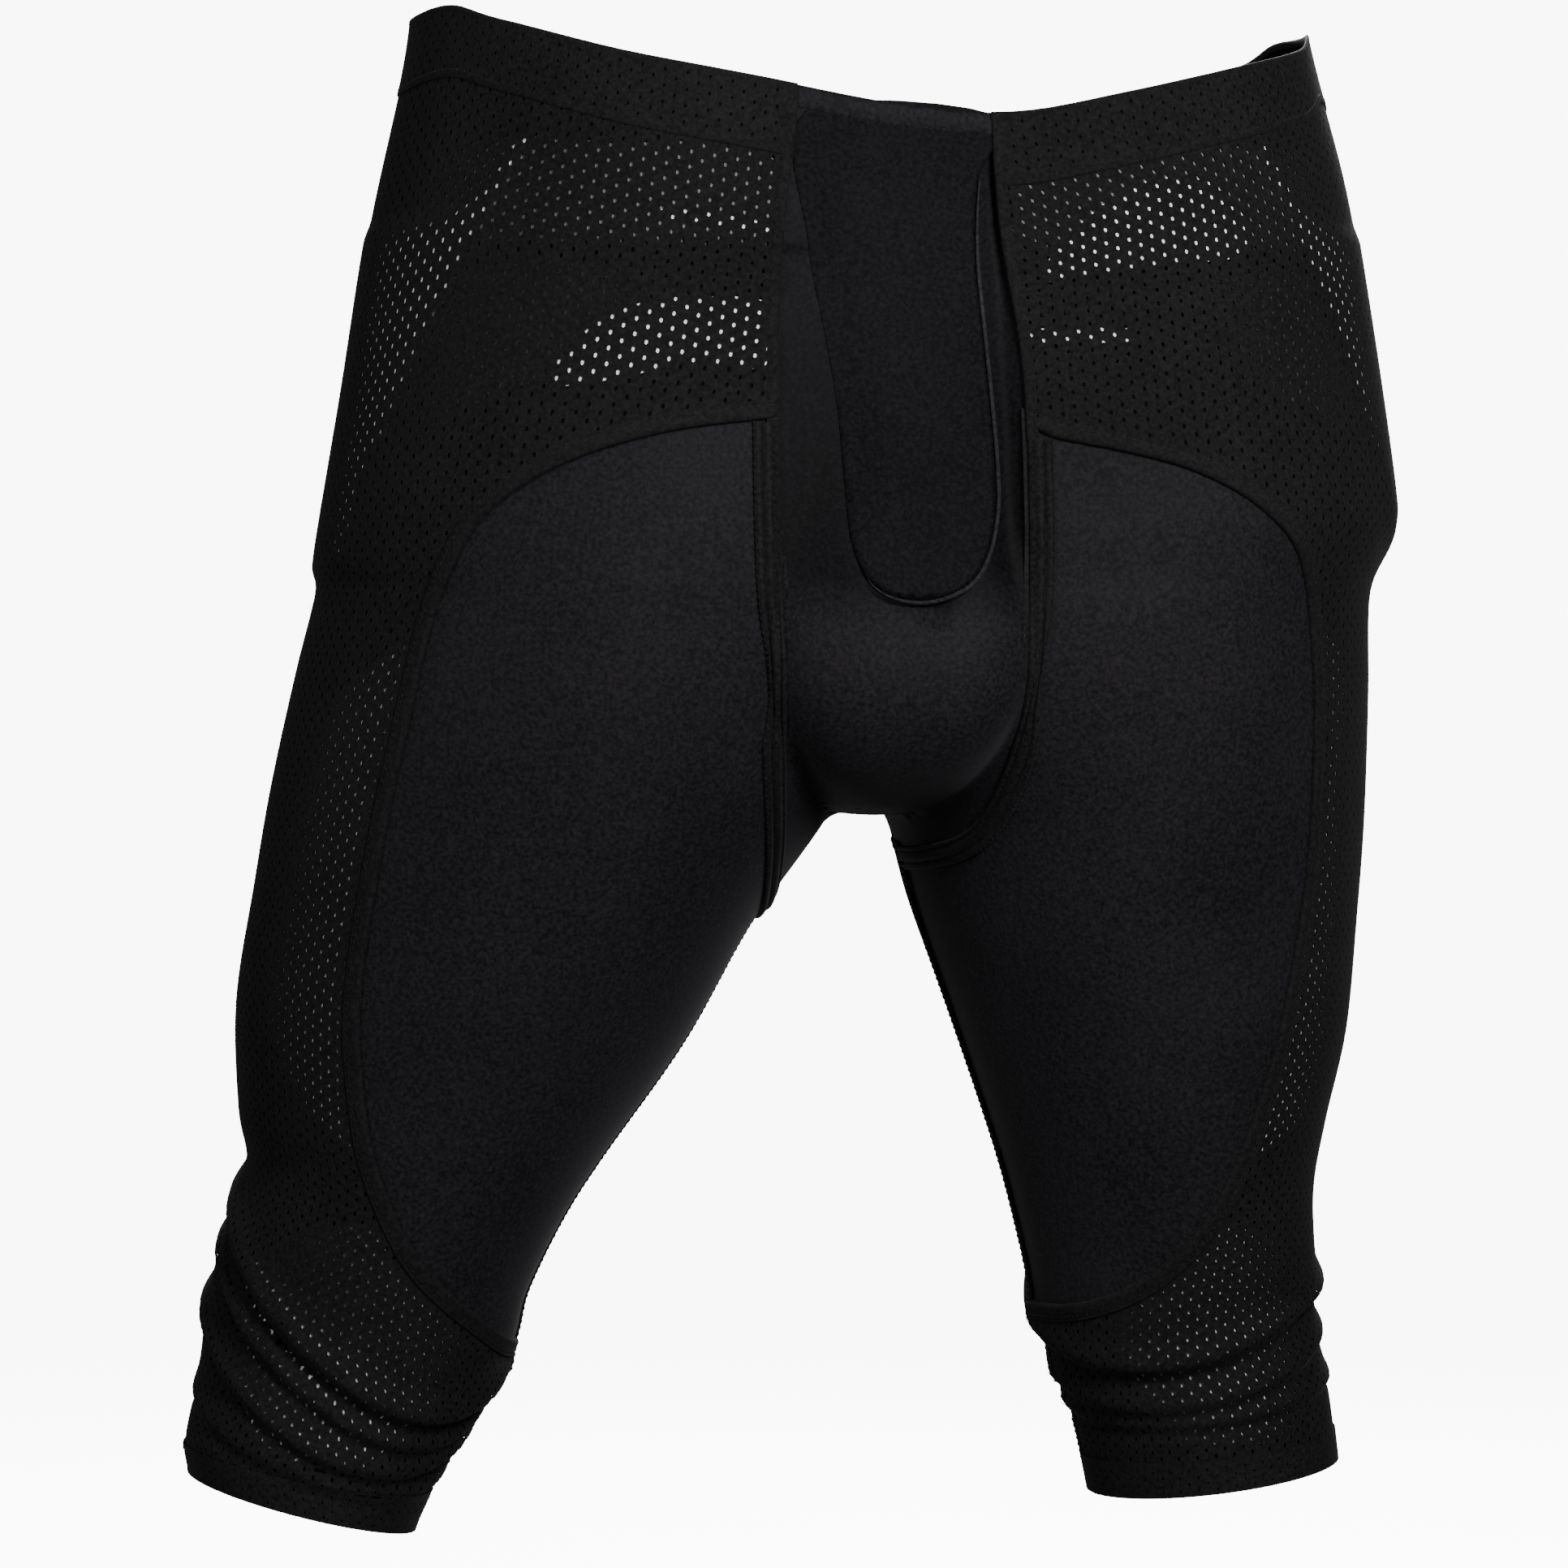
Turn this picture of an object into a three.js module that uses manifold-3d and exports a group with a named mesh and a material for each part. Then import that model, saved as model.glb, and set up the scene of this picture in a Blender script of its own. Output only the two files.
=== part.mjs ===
// Knee-length padded football pants in their worn shape, in millimetres.
// +Z is up, the front faces -Y, and the wearer's left side is +X.
// The origin is the middle of the waist opening.
import * as THREE from "three";
import { mergeVertices } from "three/addons/utils/BufferGeometryUtils.js";
import Module from "manifold-3d";

// Driving dimensions
const GARMENT_LENGTH = 528; // from the waist origin down to the lowest hem
const HIP_HALF_WIDTH = 192; // from the middle to the widest point over a hip pad
const HIP_HALF_DEPTH = 130; // from the middle to the seat's furthest point
const CLOTH = 1.4; // wall of the single cloth
const FOLDED_CLOTH = 2.2; // wall of the folded waistband and cuffs
const SEAM_GAP = 0.3; // clearance between neighbouring pieces
const WAISTBAND_HEIGHT = 24;
const BACK_RISE = 12; // how much higher the back of the waist stands than the front
const CUFF_HEIGHT = 13;
const HEM_WIDTH = 5.5; // band round each thigh opening
const HEM_THICKNESS = 1;
const WELT_WIDTH = 7.5; // seam welt on each side of the front panel
const WELT_THICKNESS = 1.5;
const FLY_PAD_THICKNESS = 3.5;
const PAD_THICKNESS = 9;
const PAD_WEB_THICKNESS = 3; // the thin sheet that joins a hip pad's lobes
const GUSSET_END = 48; // how far behind the middle the front panel ends under the crotch
const INSEAM_SETBACK = 4; // the thigh panel's inseam runs this far behind the middle
const HIP_PAD_BACK_EDGE = 60; // how far behind the middle a hip pad reaches

// Resolution
const RING_POINTS = 20;
const RINGS_PER_SECTION = 1;
const RINGS_PER_FOLDED_SECTION = 2;
const OUTLINE_STEPS = 2;

// Far enough to pass through the whole garment
const BEYOND = 2 * GARMENT_LENGTH;

// The rows of a table as objects with named columns.
const table = (columns, rows) =>
  rows.map((row) => Object.fromEntries(row.map((value, i) => [columns[i], value])));

// Sections of each leg with its half of the hips, from above the waist to below the hem.
// A section runs from a point on the outer side to a point on the inner side.
// Downs are shares of GARMENT_LENGTH, outs of HIP_HALF_WIDTH and depths of HIP_HALF_DEPTH;
// square is the exponent of the inner side's curve, 2 for an ellipse.
const SECTION = ["outerDown", "outerOut", "innerDown", "innerOut", "front", "back", "square"];
const RIGHT_LEG = table(SECTION, [
  [-0.057, 0.82, -0.057, -0.2, 0.79, 0.74, 5],
  [0.011, 0.84, 0.011, -0.2, 0.8, 0.77, 5],
  [0.121, 0.905, 0.121, -0.18, 0.83, 0.88, 5],
  [0.231, 0.953, 0.235, -0.15, 0.85, 0.97, 4.5],
  [0.34, 1.003, 0.35, -0.1, 0.86, 1, 4],
  [0.366, 1.006, 0.385, -0.075, 0.86, 0.99, 3.6],
  [0.422, 1.044, 0.44, -0.03, 0.84, 0.95, 3],
  [0.496, 1.089, 0.516, 0.06, 0.78, 0.84, 2.4],
  [0.561, 1.12, 0.59, 0.2, 0.71, 0.73, 2.2],
  [0.64, 1.154, 0.67, 0.325, 0.63, 0.63, 2],
  [0.712, 1.15, 0.746, 0.475, 0.55, 0.55, 2],
  [0.75, 1.135, 0.788, 0.55, 0.51, 0.51, 2],
  [0.795, 1.175, 0.836, 0.615, 0.47, 0.49, 2],
  [0.835, 1.205, 0.872, 0.643, 0.44, 0.47, 2],
  [0.89, 1.225, 0.92, 0.722, 0.41, 0.43, 2],
  [0.932, 1.248, 0.964, 0.79, 0.39, 0.4, 2],
  [0.956, 1.24, 0.996, 0.83, 0.38, 0.39, 2],
  [0.98, 1.24, 1.02, 0.84, 0.38, 0.39, 2],
]);
const LEFT_LEG = table(SECTION, [
  [-0.057, 0.81, -0.057, -0.2, 0.79, 0.74, 5],
  [0.011, 0.853, 0.011, -0.2, 0.8, 0.77, 5],
  [0.093, 0.914, 0.104, -0.18, 0.82, 0.86, 5],
  [0.176, 0.955, 0.19, -0.16, 0.84, 0.93, 4.5],
  [0.286, 1, 0.294, -0.12, 0.85, 1, 4],
  [0.32, 1.004, 0.335, -0.09, 0.86, 1, 3.8],
  [0.347, 0.978, 0.37, -0.07, 0.86, 0.99, 3.5],
  [0.372, 0.957, 0.4, -0.05, 0.86, 0.98, 3.2],
  [0.436, 0.956, 0.46, 0, 0.83, 0.92, 2.8],
  [0.519, 0.95, 0.523, 0.068, 0.77, 0.82, 2.4],
  [0.587, 0.938, 0.578, 0.108, 0.71, 0.74, 2.2],
  [0.663, 0.92, 0.653, 0.18, 0.63, 0.64, 2],
  [0.725, 0.882, 0.716, 0.24, 0.56, 0.57, 2],
  [0.773, 0.86, 0.761, 0.279, 0.51, 0.52, 2],
  [0.826, 0.866, 0.814, 0.316, 0.46, 0.49, 2],
  [0.856, 0.865, 0.867, 0.349, 0.43, 0.46, 2],
  [0.909, 0.892, 0.924, 0.409, 0.4, 0.43, 2],
  [0.958, 0.91, 0.981, 0.445, 0.38, 0.4, 2],
  [0.983, 0.914, 1.006, 0.452, 0.38, 0.4, 2],
]);
// The last section only carries the bore past the hem.
const SECTIONS_PAST_HEM = 1;
const FOLDS_START = 0.78; // share of GARMENT_LENGTH down where the cloth begins to fold

// The front panel's body: a column that swells above the crotch and closes under it.
// half is a share of HIP_HALF_WIDTH, and square is the exponent of the section's curve.
const CROTCH = table(["down", "half", "front", "back", "square"], [
  [-0.057, 0.2, 0.7, 0.4, 3],
  [0.15, 0.24, 0.79, 0.4, 3],
  [0.3, 0.28, 0.86, 0.4, 3.5],
  [0.37, 0.3, 0.91, 0.4, 4],
  [0.42, 0.29, 0.93, 0.42, 4],
  [0.46, 0.25, 0.89, 0.44, 3.5],
  [0.49, 0.19, 0.78, 0.46, 3],
  [0.508, 0.13, 0.62, 0.42, 2.5],
  [0.516, 0.07, 0.44, 0.3, 2],
]);
const CROTCH_FLOOR = 0.5; // share of GARMENT_LENGTH down where the column's underside begins

// Folds of slack cloth above the cuffs, as ridges round the leg (height is in shares of CLOTH).
// slant lowers a ridge at the inner side, and sag lowers it at the front.
const FOLD = ["down", "slant", "sag", "height", "spread"];
const RIGHT_FOLDS = table(FOLD, [
  [0.832, 0.025, 0.057, 2.6, 0.013],
  [0.87, 0.022, 0.052, 1.8, 0.01],
  [0.912, 0.01, 0.03, 1.2, 0.009],
]);
const LEFT_FOLDS = table(FOLD, [
  [0.842, 0.019, 0.034, 2.4, 0.013],
  [0.881, 0.014, 0.024, 1.6, 0.009],
  [0.907, 0.005, 0.012, 1.1, 0.008],
]);

// Outlines as the front view shows them, in shares of HIP_HALF_WIDTH and GARMENT_LENGTH.
const OUTLINE = ["out", "down"];
const WAIST_EDGE = table(OUTLINE, [
  [-0.9, -0.003],
  [-0.79, -0.018],
  [-0.7, -0.006],
  [-0.5, 0.016],
  [-0.25, 0.033],
  [-0.015, 0.048],
  [0.19, 0.053],
  [0.4, 0.039],
  [0.65, 0.017],
  [0.78, 0.003],
  [0.83, -0.011],
  [0.9, 0],
]);
const FRONT_PANEL = table(OUTLINE, [
  [-0.18, -0.12],
  [-0.187, 0.03],
  [-0.225, 0.16],
  [-0.23, 0.3],
  [-0.215, 0.43],
  [-0.19, 0.52],
  [-0.15, 0.59],
  [-0.03, 0.56],
  [0.08, 0.54],
  [0.15, 0.525],
  [0.19, 0.492],
  [0.215, 0.44],
  [0.222, 0.35],
  [0.212, 0.23],
  [0.17, 0.13],
  [0.158, 0.03],
  [0.17, -0.12],
]);
const RIGHT_THIGH = table(OUTLINE, [
  [-0.05, 0.252],
  [-0.232, 0.258],
  [-0.435, 0.268],
  [-0.62, 0.29],
  [-0.75, 0.325],
  [-0.822, 0.38],
  [-0.868, 0.45],
  [-0.918, 0.54],
  [-0.953, 0.633],
  [-0.944, 0.7],
  [-0.914, 0.75],
  [-0.84, 0.805],
  [-0.726, 0.846],
  [-0.62, 0.872],
  [-0.45, 0.88],
  [-0.25, 0.8],
  [0.02, 0.6],
]);
const LEFT_THIGH = table(OUTLINE, [
  [0.05, 0.25],
  [0.258, 0.269],
  [0.402, 0.279],
  [0.531, 0.292],
  [0.65, 0.315],
  [0.733, 0.35],
  [0.765, 0.42],
  [0.769, 0.5],
  [0.755, 0.58],
  [0.703, 0.684],
  [0.619, 0.767],
  [0.52, 0.815],
  [0.405, 0.842],
  [0.3, 0.85],
  [0.18, 0.84],
  [0.08, 0.74],
  [0, 0.6],
]);
const FLY_PAD = table(OUTLINE, [
  [-0.16, 0.085],
  [-0.172, 0.145],
  [-0.145, 0.21],
  [-0.118, 0.29],
  [-0.1, 0.345],
  [-0.05, 0.372],
  [0.03, 0.377],
  [0.11, 0.363],
  [0.152, 0.33],
  [0.158, 0.28],
  [0.14, 0.2],
  [0.122, 0.14],
  [0.125, 0.085],
]);

// Pads as the front view shows them, with out growing to the wearer's own side.
// A hip pad has one lobe over the hip bone, one in front of it and a thin web that joins them.
const HIP_LOBE = table(OUTLINE, [
  [0.62, 0.075],
  [0.72, 0.12],
  [0.83, 0.2],
  [0.93, 0.29],
  [0.985, 0.345],
  [1.15, 0.34],
  [1.15, 0.09],
  [0.85, 0.065],
]);
const FRONT_LOBE = table(OUTLINE, [
  [0.26, 0.185],
  [0.37, 0.18],
  [0.48, 0.184],
  [0.57, 0.204],
  [0.62, 0.238],
  [0.52, 0.236],
  [0.38, 0.224],
  [0.26, 0.227],
]);
const HIP_WEB = table(OUTLINE, [
  [0.28, 0.15],
  [0.5, 0.1],
  [0.8, 0.1],
  [0.95, 0.2],
  [0.92, 0.27],
  [0.75, 0.25],
  [0.55, 0.225],
  [0.28, 0.21],
]);
// Across runs from -1 at a leg's inner side to 1 at its outer side.
const ON_LEG = ["across", "down"];
const THIGH_PAD = table(ON_LEG, [
  [-0.35, 0.44],
  [0.1, 0.385],
  [0.7, 0.395],
  [0.98, 0.48],
  [0.95, 0.66],
  [0.5, 0.745],
  [-0.1, 0.725],
  [-0.4, 0.58],
]);
const KNEE_PAD = table(ON_LEG, [
  [-0.55, 0.79],
  [0.1, 0.775],
  [0.75, 0.8],
  [0.9, 0.87],
  [0.6, 0.935],
  [0, 0.945],
  [-0.5, 0.93],
  [-0.7, 0.86],
]);

const wasm = await Module();
wasm.setup();

// A closed three.js geometry as a solid for joining and cutting.
function solidFrom(geometry) {
  const loose = geometry.index ? geometry.toNonIndexed() : geometry;
  const bare = new THREE.BufferGeometry().setAttribute("position", loose.getAttribute("position"));
  const merged = mergeVertices(bare, 1e-4);
  return new wasm.Manifold(
    new wasm.Mesh({
      numProp: 3,
      vertProperties: merged.attributes.position.array,
      triVerts: new Uint32Array(merged.index.array),
    }),
  );
}

// A solid through rings of equally many points, closed by a fan at each end.
function loft(rings) {
  const count = rings[0].length;
  const middle = (ring) => ring.reduce((sum, p) => sum.add(p), new THREE.Vector3()).divideScalar(count);
  const points = [...rings.flat(), middle(rings[0]), middle(rings.at(-1))];
  const [top, bottom] = [points.length - 2, points.length - 1];
  const last = (rings.length - 1) * count;
  const faces = [];
  for (let i = 0; i < count; i++) {
    const next = (i + 1) % count;
    for (let row = 0; row < last; row += count)
      faces.push(row + i, row + count + i, row + count + next, row + i, row + count + next, row + next);
    faces.push(top, i, next, bottom, last + next, last + i);
  }
  const geometry = new THREE.BufferGeometry().setFromPoints(points).setIndex(faces);
  const solid = solidFrom(geometry);
  return solid.volume() > 0 ? solid : solidFrom(geometry.setIndex(faces.reverse()));
}

// The rows of a table with more between them, as many after each row as stepsAfter tells.
function fillIn(rows, stepsAfter) {
  const columns = Object.keys(rows[0]);
  const curve = new THREE.CubicInterpolant(
    rows.map((_, i) => i),
    rows.flatMap((row) => columns.map((name) => row[name])),
    columns.length,
  );
  const at = (place) => {
    const values = Array.from(curve.evaluate(place));
    return Object.fromEntries(columns.map((name, k) => [name, values[k]]));
  };
  const filled = rows.slice(0, -1).flatMap((row, i) => {
    const steps = stepsAfter(row);
    return Array.from({ length: steps }, (_, k) => at(i + k / steps));
  });
  return [...filled, rows.at(-1)];
}

// How far the folds lift the cloth, down the garment and round the section.
function foldHeight(folds, down, angle) {
  return folds.reduce((sum, fold) => {
    const line = fold.down + fold.slant * Math.cos(angle) - fold.sag * Math.sin(angle);
    const away = (down - line) / fold.spread;
    return sum + CLOTH * fold.height * Math.exp(-away * away);
  }, 0);
}

// A section's outer and inner points.
function sectionEnds(section, side) {
  const at = (out, down) => new THREE.Vector3(side * out * HIP_HALF_WIDTH, 0, -down * GARMENT_LENGTH);
  return [at(section.outerOut, section.outerDown), at(section.innerOut, section.innerDown)];
}

// A share from -1 to 1 bent towards the corners of a curve with this exponent.
const bend = (share, square) => Math.sign(share) * Math.abs(share) ** (2 / square);

const ringAngles = Array.from({ length: RING_POINTS }, (_, i) => (2 * Math.PI * i) / RING_POINTS);

// One ring of a leg, grown by offset. Angle 0 is the inner side and 90 degrees the back.
function legRing(section, side, folds, offset) {
  const [outer, inner] = sectionEnds(section, side);
  const middle = outer.clone().add(inner).divideScalar(2);
  const inward = inner.clone().sub(middle).normalize();
  const half = inner.distanceTo(middle);
  return ringAngles.map((angle) => {
    const [toInner, toBack] = [Math.cos(angle), Math.sin(angle)];
    const square = toInner > 0 ? section.square : 2;
    const grown = offset + foldHeight(folds, -middle.z / GARMENT_LENGTH, angle);
    const depth = (toBack > 0 ? section.back : section.front) * HIP_HALF_DEPTH + grown;
    const across = bend(toInner, square) * (half + grown);
    return middle.clone().addScaledVector(inward, across).setY(bend(toBack, square) * depth);
  });
}

function legBody(sections, side, folds, offset, pastHem) {
  const used = pastHem ? sections : sections.slice(0, -SECTIONS_PAST_HEM);
  const steps = (section) => (section.outerDown > FOLDS_START ? RINGS_PER_FOLDED_SECTION : RINGS_PER_SECTION);
  return loft(fillIn(used, steps).map((section) => legRing(section, side, folds, offset)));
}

function crotchBody(offset) {
  const rings = CROTCH.map((section) =>
    ringAngles.map((angle) => {
      const [toSide, toBack] = [Math.cos(angle), Math.sin(angle)];
      const depth = (toBack > 0 ? section.back : section.front) * HIP_HALF_DEPTH + offset;
      const drop = section.down > CROTCH_FLOOR ? offset : 0;
      return new THREE.Vector3(
        bend(toSide, section.square) * (section.half * HIP_HALF_WIDTH + offset),
        bend(toBack, section.square) * depth,
        -section.down * GARMENT_LENGTH - drop,
      );
    }),
  );
  return loft(rings);
}

// The whole worn form, grown outwards by offset.
const body = (offset, pastHem = false) =>
  wasm.Manifold.union([
    legBody(RIGHT_LEG, -1, RIGHT_FOLDS, offset, pastHem),
    legBody(LEFT_LEG, 1, LEFT_FOLDS, offset, pastHem),
    crotchBody(offset),
  ]);

// The cloth between two offsets of the form.
const layer = (inside, outside) => body(outside).subtract(body(inside, true));

// Outline points in millimetres, as x to the side and y up.
const outlinePoints = (rows, side = 1) =>
  rows.map((row) => new THREE.Vector2(side * row.out * HIP_HALF_WIDTH, -row.down * GARMENT_LENGTH));

// Where a place across a leg lies at this height, as x to the side and y up.
function placeOnLeg({ across, down }, sections, side) {
  const height = (section) => (section.outerDown + section.innerDown) / 2;
  const i = sections.findIndex((section) => height(section) > down);
  const [above, below] = [sections[i - 1], sections[i]];
  const share = (down - height(above)) / (height(below) - height(above));
  const [outer, inner] = sectionEnds(above, side);
  const [lowerOuter, lowerInner] = sectionEnds(below, side);
  outer.lerp(lowerOuter, share);
  const place = inner.lerp(lowerInner, share).lerp(outer, (1 + across) / 2);
  return new THREE.Vector2(place.x, place.z);
}

// A smooth closed outline through hand-placed points.
function closedOutline(points) {
  const curve = new THREE.SplineCurve([...points, points[0]]);
  return curve.getPoints(points.length * OUTLINE_STEPS).slice(0, -1);
}

// An outline moved outwards by distance.
function grow(points, distance) {
  const turn = THREE.ShapeUtils.isClockWise(points) ? -1 : 1;
  return points.map((point, i) => {
    const before = points.at(i - 1);
    const after = points[(i + 1) % points.length];
    const along = after.clone().sub(before).normalize();
    return new THREE.Vector2(along.y, -along.x).multiplyScalar(turn * distance).add(point);
  });
}

// A front-view outline drawn out along Y, from far in front of the garment back to y = behind.
function drawnOut(points, behind) {
  const options = { depth: behind + BEYOND, bevelEnabled: false };
  const geometry = new THREE.ExtrudeGeometry(new THREE.Shape(points), options);
  return geometry.rotateX(Math.PI / 2).translate(0, behind, 0);
}

const prism = (points, behind) => solidFrom(drawnOut(points, behind));

// The zone between the waist edge, lowered by drop, and a line far below.
// It leans so that the back stands higher than the front.
function underWaist(drop) {
  const edge = new THREE.SplineCurve(outlinePoints(WAIST_EDGE)).getPoints(WAIST_EDGE.length * OUTLINE_STEPS);
  const shape = [
    new THREE.Vector2(-BEYOND, edge[0].y - drop),
    ...edge.map((point) => new THREE.Vector2(point.x, point.y - drop)),
    new THREE.Vector2(BEYOND, edge.at(-1).y - drop),
    new THREE.Vector2(BEYOND, -BEYOND),
    new THREE.Vector2(-BEYOND, -BEYOND),
  ];
  const lean = BACK_RISE / (2 * HIP_HALF_DEPTH);
  const tilt = new THREE.Matrix4().makeShear(0, 0, 0, lean, 0, 0);
  return solidFrom(drawnOut(shape, BEYOND).applyMatrix4(tilt));
}

// The slab of a leg's last stretch, as high as the cuff plus extra.
function cuffZone(sections, side, extra) {
  const [outer, inner] = sectionEnds(sections.at(-1 - SECTIONS_PAST_HEM), side);
  const middle = outer.clone().add(inner).divideScalar(2);
  const [from, to] = side < 0 ? [outer, inner] : [inner, outer];
  const roll = Math.atan2(to.z - from.z, to.x - from.x);
  const height = 2 * (CUFF_HEIGHT + extra);
  const slab = new THREE.BoxGeometry(HIP_HALF_WIDTH, 4 * HIP_HALF_DEPTH, height);
  return solidFrom(slab.rotateY(-roll).translate(middle.x, 0, middle.z));
}

// The wearer's right or left half, clear of the other by the seam gap.
function sideZone(side) {
  const box = new THREE.BoxGeometry(BEYOND, 2 * BEYOND, 2 * BEYOND);
  return solidFrom(box.translate((side * (BEYOND + SEAM_GAP)) / 2, 0, 0));
}

// The largest body of a cut solid, without the slivers that a cut leaves beside it.
const largest = (solid) =>
  solid.decompose().reduce((best, one) => (one.volume() > best.volume() ? one : best));

const group = new THREE.Group();
const MATERIALS = {
  mesh: { color: 0x141315, roughness: 0.85, metalness: 0 },
  smooth: { color: 0x1b1b1f, roughness: 0.6, metalness: 0 },
  foam: { color: 0xd9d9d6, roughness: 0.9, metalness: 0 },
};

function addPiece(name, solid, look) {
  const mesh = largest(solid).getMesh();
  const stride = mesh.numProp;
  const positions = new Float32Array(mesh.numVert * 3);
  for (let i = 0; i < mesh.numVert; i++)
    positions.set(mesh.vertProperties.subarray(i * stride, i * stride + 3), i * 3);
  const geometry = new THREE.BufferGeometry()
    .setAttribute("position", new THREE.BufferAttribute(positions, 3))
    .setIndex(new THREE.BufferAttribute(mesh.triVerts, 1));
  geometry.computeVertexNormals();
  const piece = new THREE.Mesh(geometry, new THREE.MeshStandardMaterial(MATERIALS[look]));
  piece.name = name;
  group.add(piece);
}

const sides = [
  { name: "right", side: -1, leg: RIGHT_LEG, thigh: RIGHT_THIGH },
  { name: "left", side: 1, leg: LEFT_LEG, thigh: LEFT_THIGH },
];
const garment = underWaist(0);
const singleCloth = layer(-CLOTH, 0).intersect(garment);
const foldedCloth = layer(-CLOTH, FOLDED_CLOTH - CLOTH).intersect(garment);

// Front panel with the gusset under the crotch
const panelLine = closedOutline(outlinePoints(FRONT_PANEL));
const panelCut = prism(grow(panelLine, SEAM_GAP), GUSSET_END + SEAM_GAP);
addPiece("front_panel", singleCloth.intersect(prism(panelLine, GUSSET_END)), "smooth");

// Raised tongue over the fly
const flyLayer = layer(SEAM_GAP, SEAM_GAP + FLY_PAD_THICKNESS);
addPiece("fly_pad", flyLayer.intersect(prism(closedOutline(outlinePoints(FLY_PAD)), 0)), "smooth");

// Waistband, folded over round the sides and back
addPiece("waistband", foldedCloth.subtract(panelCut).subtract(underWaist(WAISTBAND_HEIGHT)), "mesh");
const belowBand = singleCloth.subtract(panelCut).intersect(underWaist(WAISTBAND_HEIGHT + SEAM_GAP));

const hemLayer = layer(SEAM_GAP, SEAM_GAP + HEM_THICKNESS).subtract(panelCut);
const weltLayer = layer(SEAM_GAP, SEAM_GAP + WELT_THICKNESS).subtract(panelCut);
const padFace = -CLOTH - SEAM_GAP;
const padLayer = layer(padFace - PAD_THICKNESS, padFace);
const webLayer = layer(padFace - PAD_THICKNESS, padFace - PAD_THICKNESS + PAD_WEB_THICKNESS);
const welt = prism(grow(panelLine, WELT_WIDTH), INSEAM_SETBACK);

for (const { name, side, leg, thigh } of sides) {
  // Cuff, thigh panel and the mesh that runs round them
  const thighLine = closedOutline(outlinePoints(thigh));
  const thighZone = prism(thighLine, INSEAM_SETBACK);
  const thighCut = prism(grow(thighLine, SEAM_GAP), INSEAM_SETBACK + SEAM_GAP);
  const half = belowBand.intersect(sideZone(side)).subtract(cuffZone(leg, side, SEAM_GAP));
  addPiece("cuff_" + name, foldedCloth.intersect(cuffZone(leg, side, 0)), "mesh");
  addPiece("thigh_panel_" + name, half.intersect(thighZone), "smooth");
  addPiece("mesh_" + name, half.subtract(thighCut), "mesh");

  // Hem outside the thigh panel and welt along its inner edge
  const hem = prism(grow(thighLine, HEM_WIDTH), INSEAM_SETBACK).subtract(thighCut);
  addPiece("hem_" + name, hemLayer.intersect(hem), "mesh");
  addPiece("welt_" + name, weltLayer.intersect(welt).intersect(thighZone), "smooth");

  // Foam pads inside the cloth
  const onFront = (points, behind) => prism(closedOutline(points), behind);
  const onLeg = (rows) => rows.map((row) => placeOnLeg(row, leg, side));
  const lobes = [HIP_LOBE, FRONT_LOBE].map((rows) => onFront(outlinePoints(rows, side), HIP_PAD_BACK_EDGE));
  const web = webLayer.intersect(onFront(outlinePoints(HIP_WEB, side), 0));
  addPiece("hip_pad_" + name, padLayer.intersect(wasm.Manifold.union(lobes)).add(web), "foam");
  addPiece("thigh_pad_" + name, padLayer.intersect(onFront(onLeg(THIGH_PAD), 0)), "foam");
  addPiece("knee_pad_" + name, padLayer.intersect(onFront(onLeg(KNEE_PAD), 0)), "foam");
}

export default group;
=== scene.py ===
"""Knee-length padded football pants in their worn shape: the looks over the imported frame."""
import math

import bpy
import numpy as np
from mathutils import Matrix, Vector


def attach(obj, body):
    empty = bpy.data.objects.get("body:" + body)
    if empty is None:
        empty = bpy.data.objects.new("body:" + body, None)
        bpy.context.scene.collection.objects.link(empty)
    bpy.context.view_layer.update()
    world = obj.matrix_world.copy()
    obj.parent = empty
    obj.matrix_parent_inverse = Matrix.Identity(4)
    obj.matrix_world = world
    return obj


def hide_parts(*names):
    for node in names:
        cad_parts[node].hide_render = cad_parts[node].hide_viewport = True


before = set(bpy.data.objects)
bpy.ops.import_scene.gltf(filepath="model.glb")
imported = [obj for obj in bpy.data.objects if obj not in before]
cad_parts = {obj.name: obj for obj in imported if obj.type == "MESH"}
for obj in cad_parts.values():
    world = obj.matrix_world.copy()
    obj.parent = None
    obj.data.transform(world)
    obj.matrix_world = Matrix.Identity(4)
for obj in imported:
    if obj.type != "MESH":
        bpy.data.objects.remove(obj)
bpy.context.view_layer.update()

# Driving sizes in millimetres, as in the solids' source
METRE = 0.001
LENGTH = 528.0  # from the waist origin down to the lowest hem
HALF_WIDTH = 192.0
HALF_DEPTH = 130.0
BAND_HEIGHT = 24.0
BACK_RISE = 12.0
CUFF_HEIGHT = 13.0
GUSSET_END = 48.0
INSEAM_SETBACK = 4.0
PAD_BACK_EDGE = 60.0
PAD_CORNER = 24.0  # radius of the corners behind, at the side of the hip
CLOTH = 1.0
PAD_GAP = 0.15
PAD_THICKNESS = 8.0
NET = 0.22  # the perforated cloth as it shows
BLEND = 5.0  # width over which the legs and the crotch run into each other
TUCK = 2.0  # how far a cloth runs on under the piece that covers its edge
PAD_TUCK = 4.0  # how far the near-black sheet of painted shade runs on over a leg pad's edge
CELL = 2.0  # grid step of the smooth cloths
INSIDE_CELL = 4
PAD_CELL = 3
HOLE_CELL = 4.0  # taken as the grid step of the perforated cloths
HOLE_MARGIN = 1.7  # no hole's middle lies nearer to a cloth's edge
SMOOTH_DEPTH = 1.1  # how far the smooth cloths lie below the worn form
ROLL_DEPTH = 0.8  # how far the cloths end short of the rolled edges at the waist and the hems
FOLDS_FROM, FOLDS_FULL = 0.73 * LENGTH, 0.77 * LENGTH  # where the folds above the cuffs begin

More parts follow.
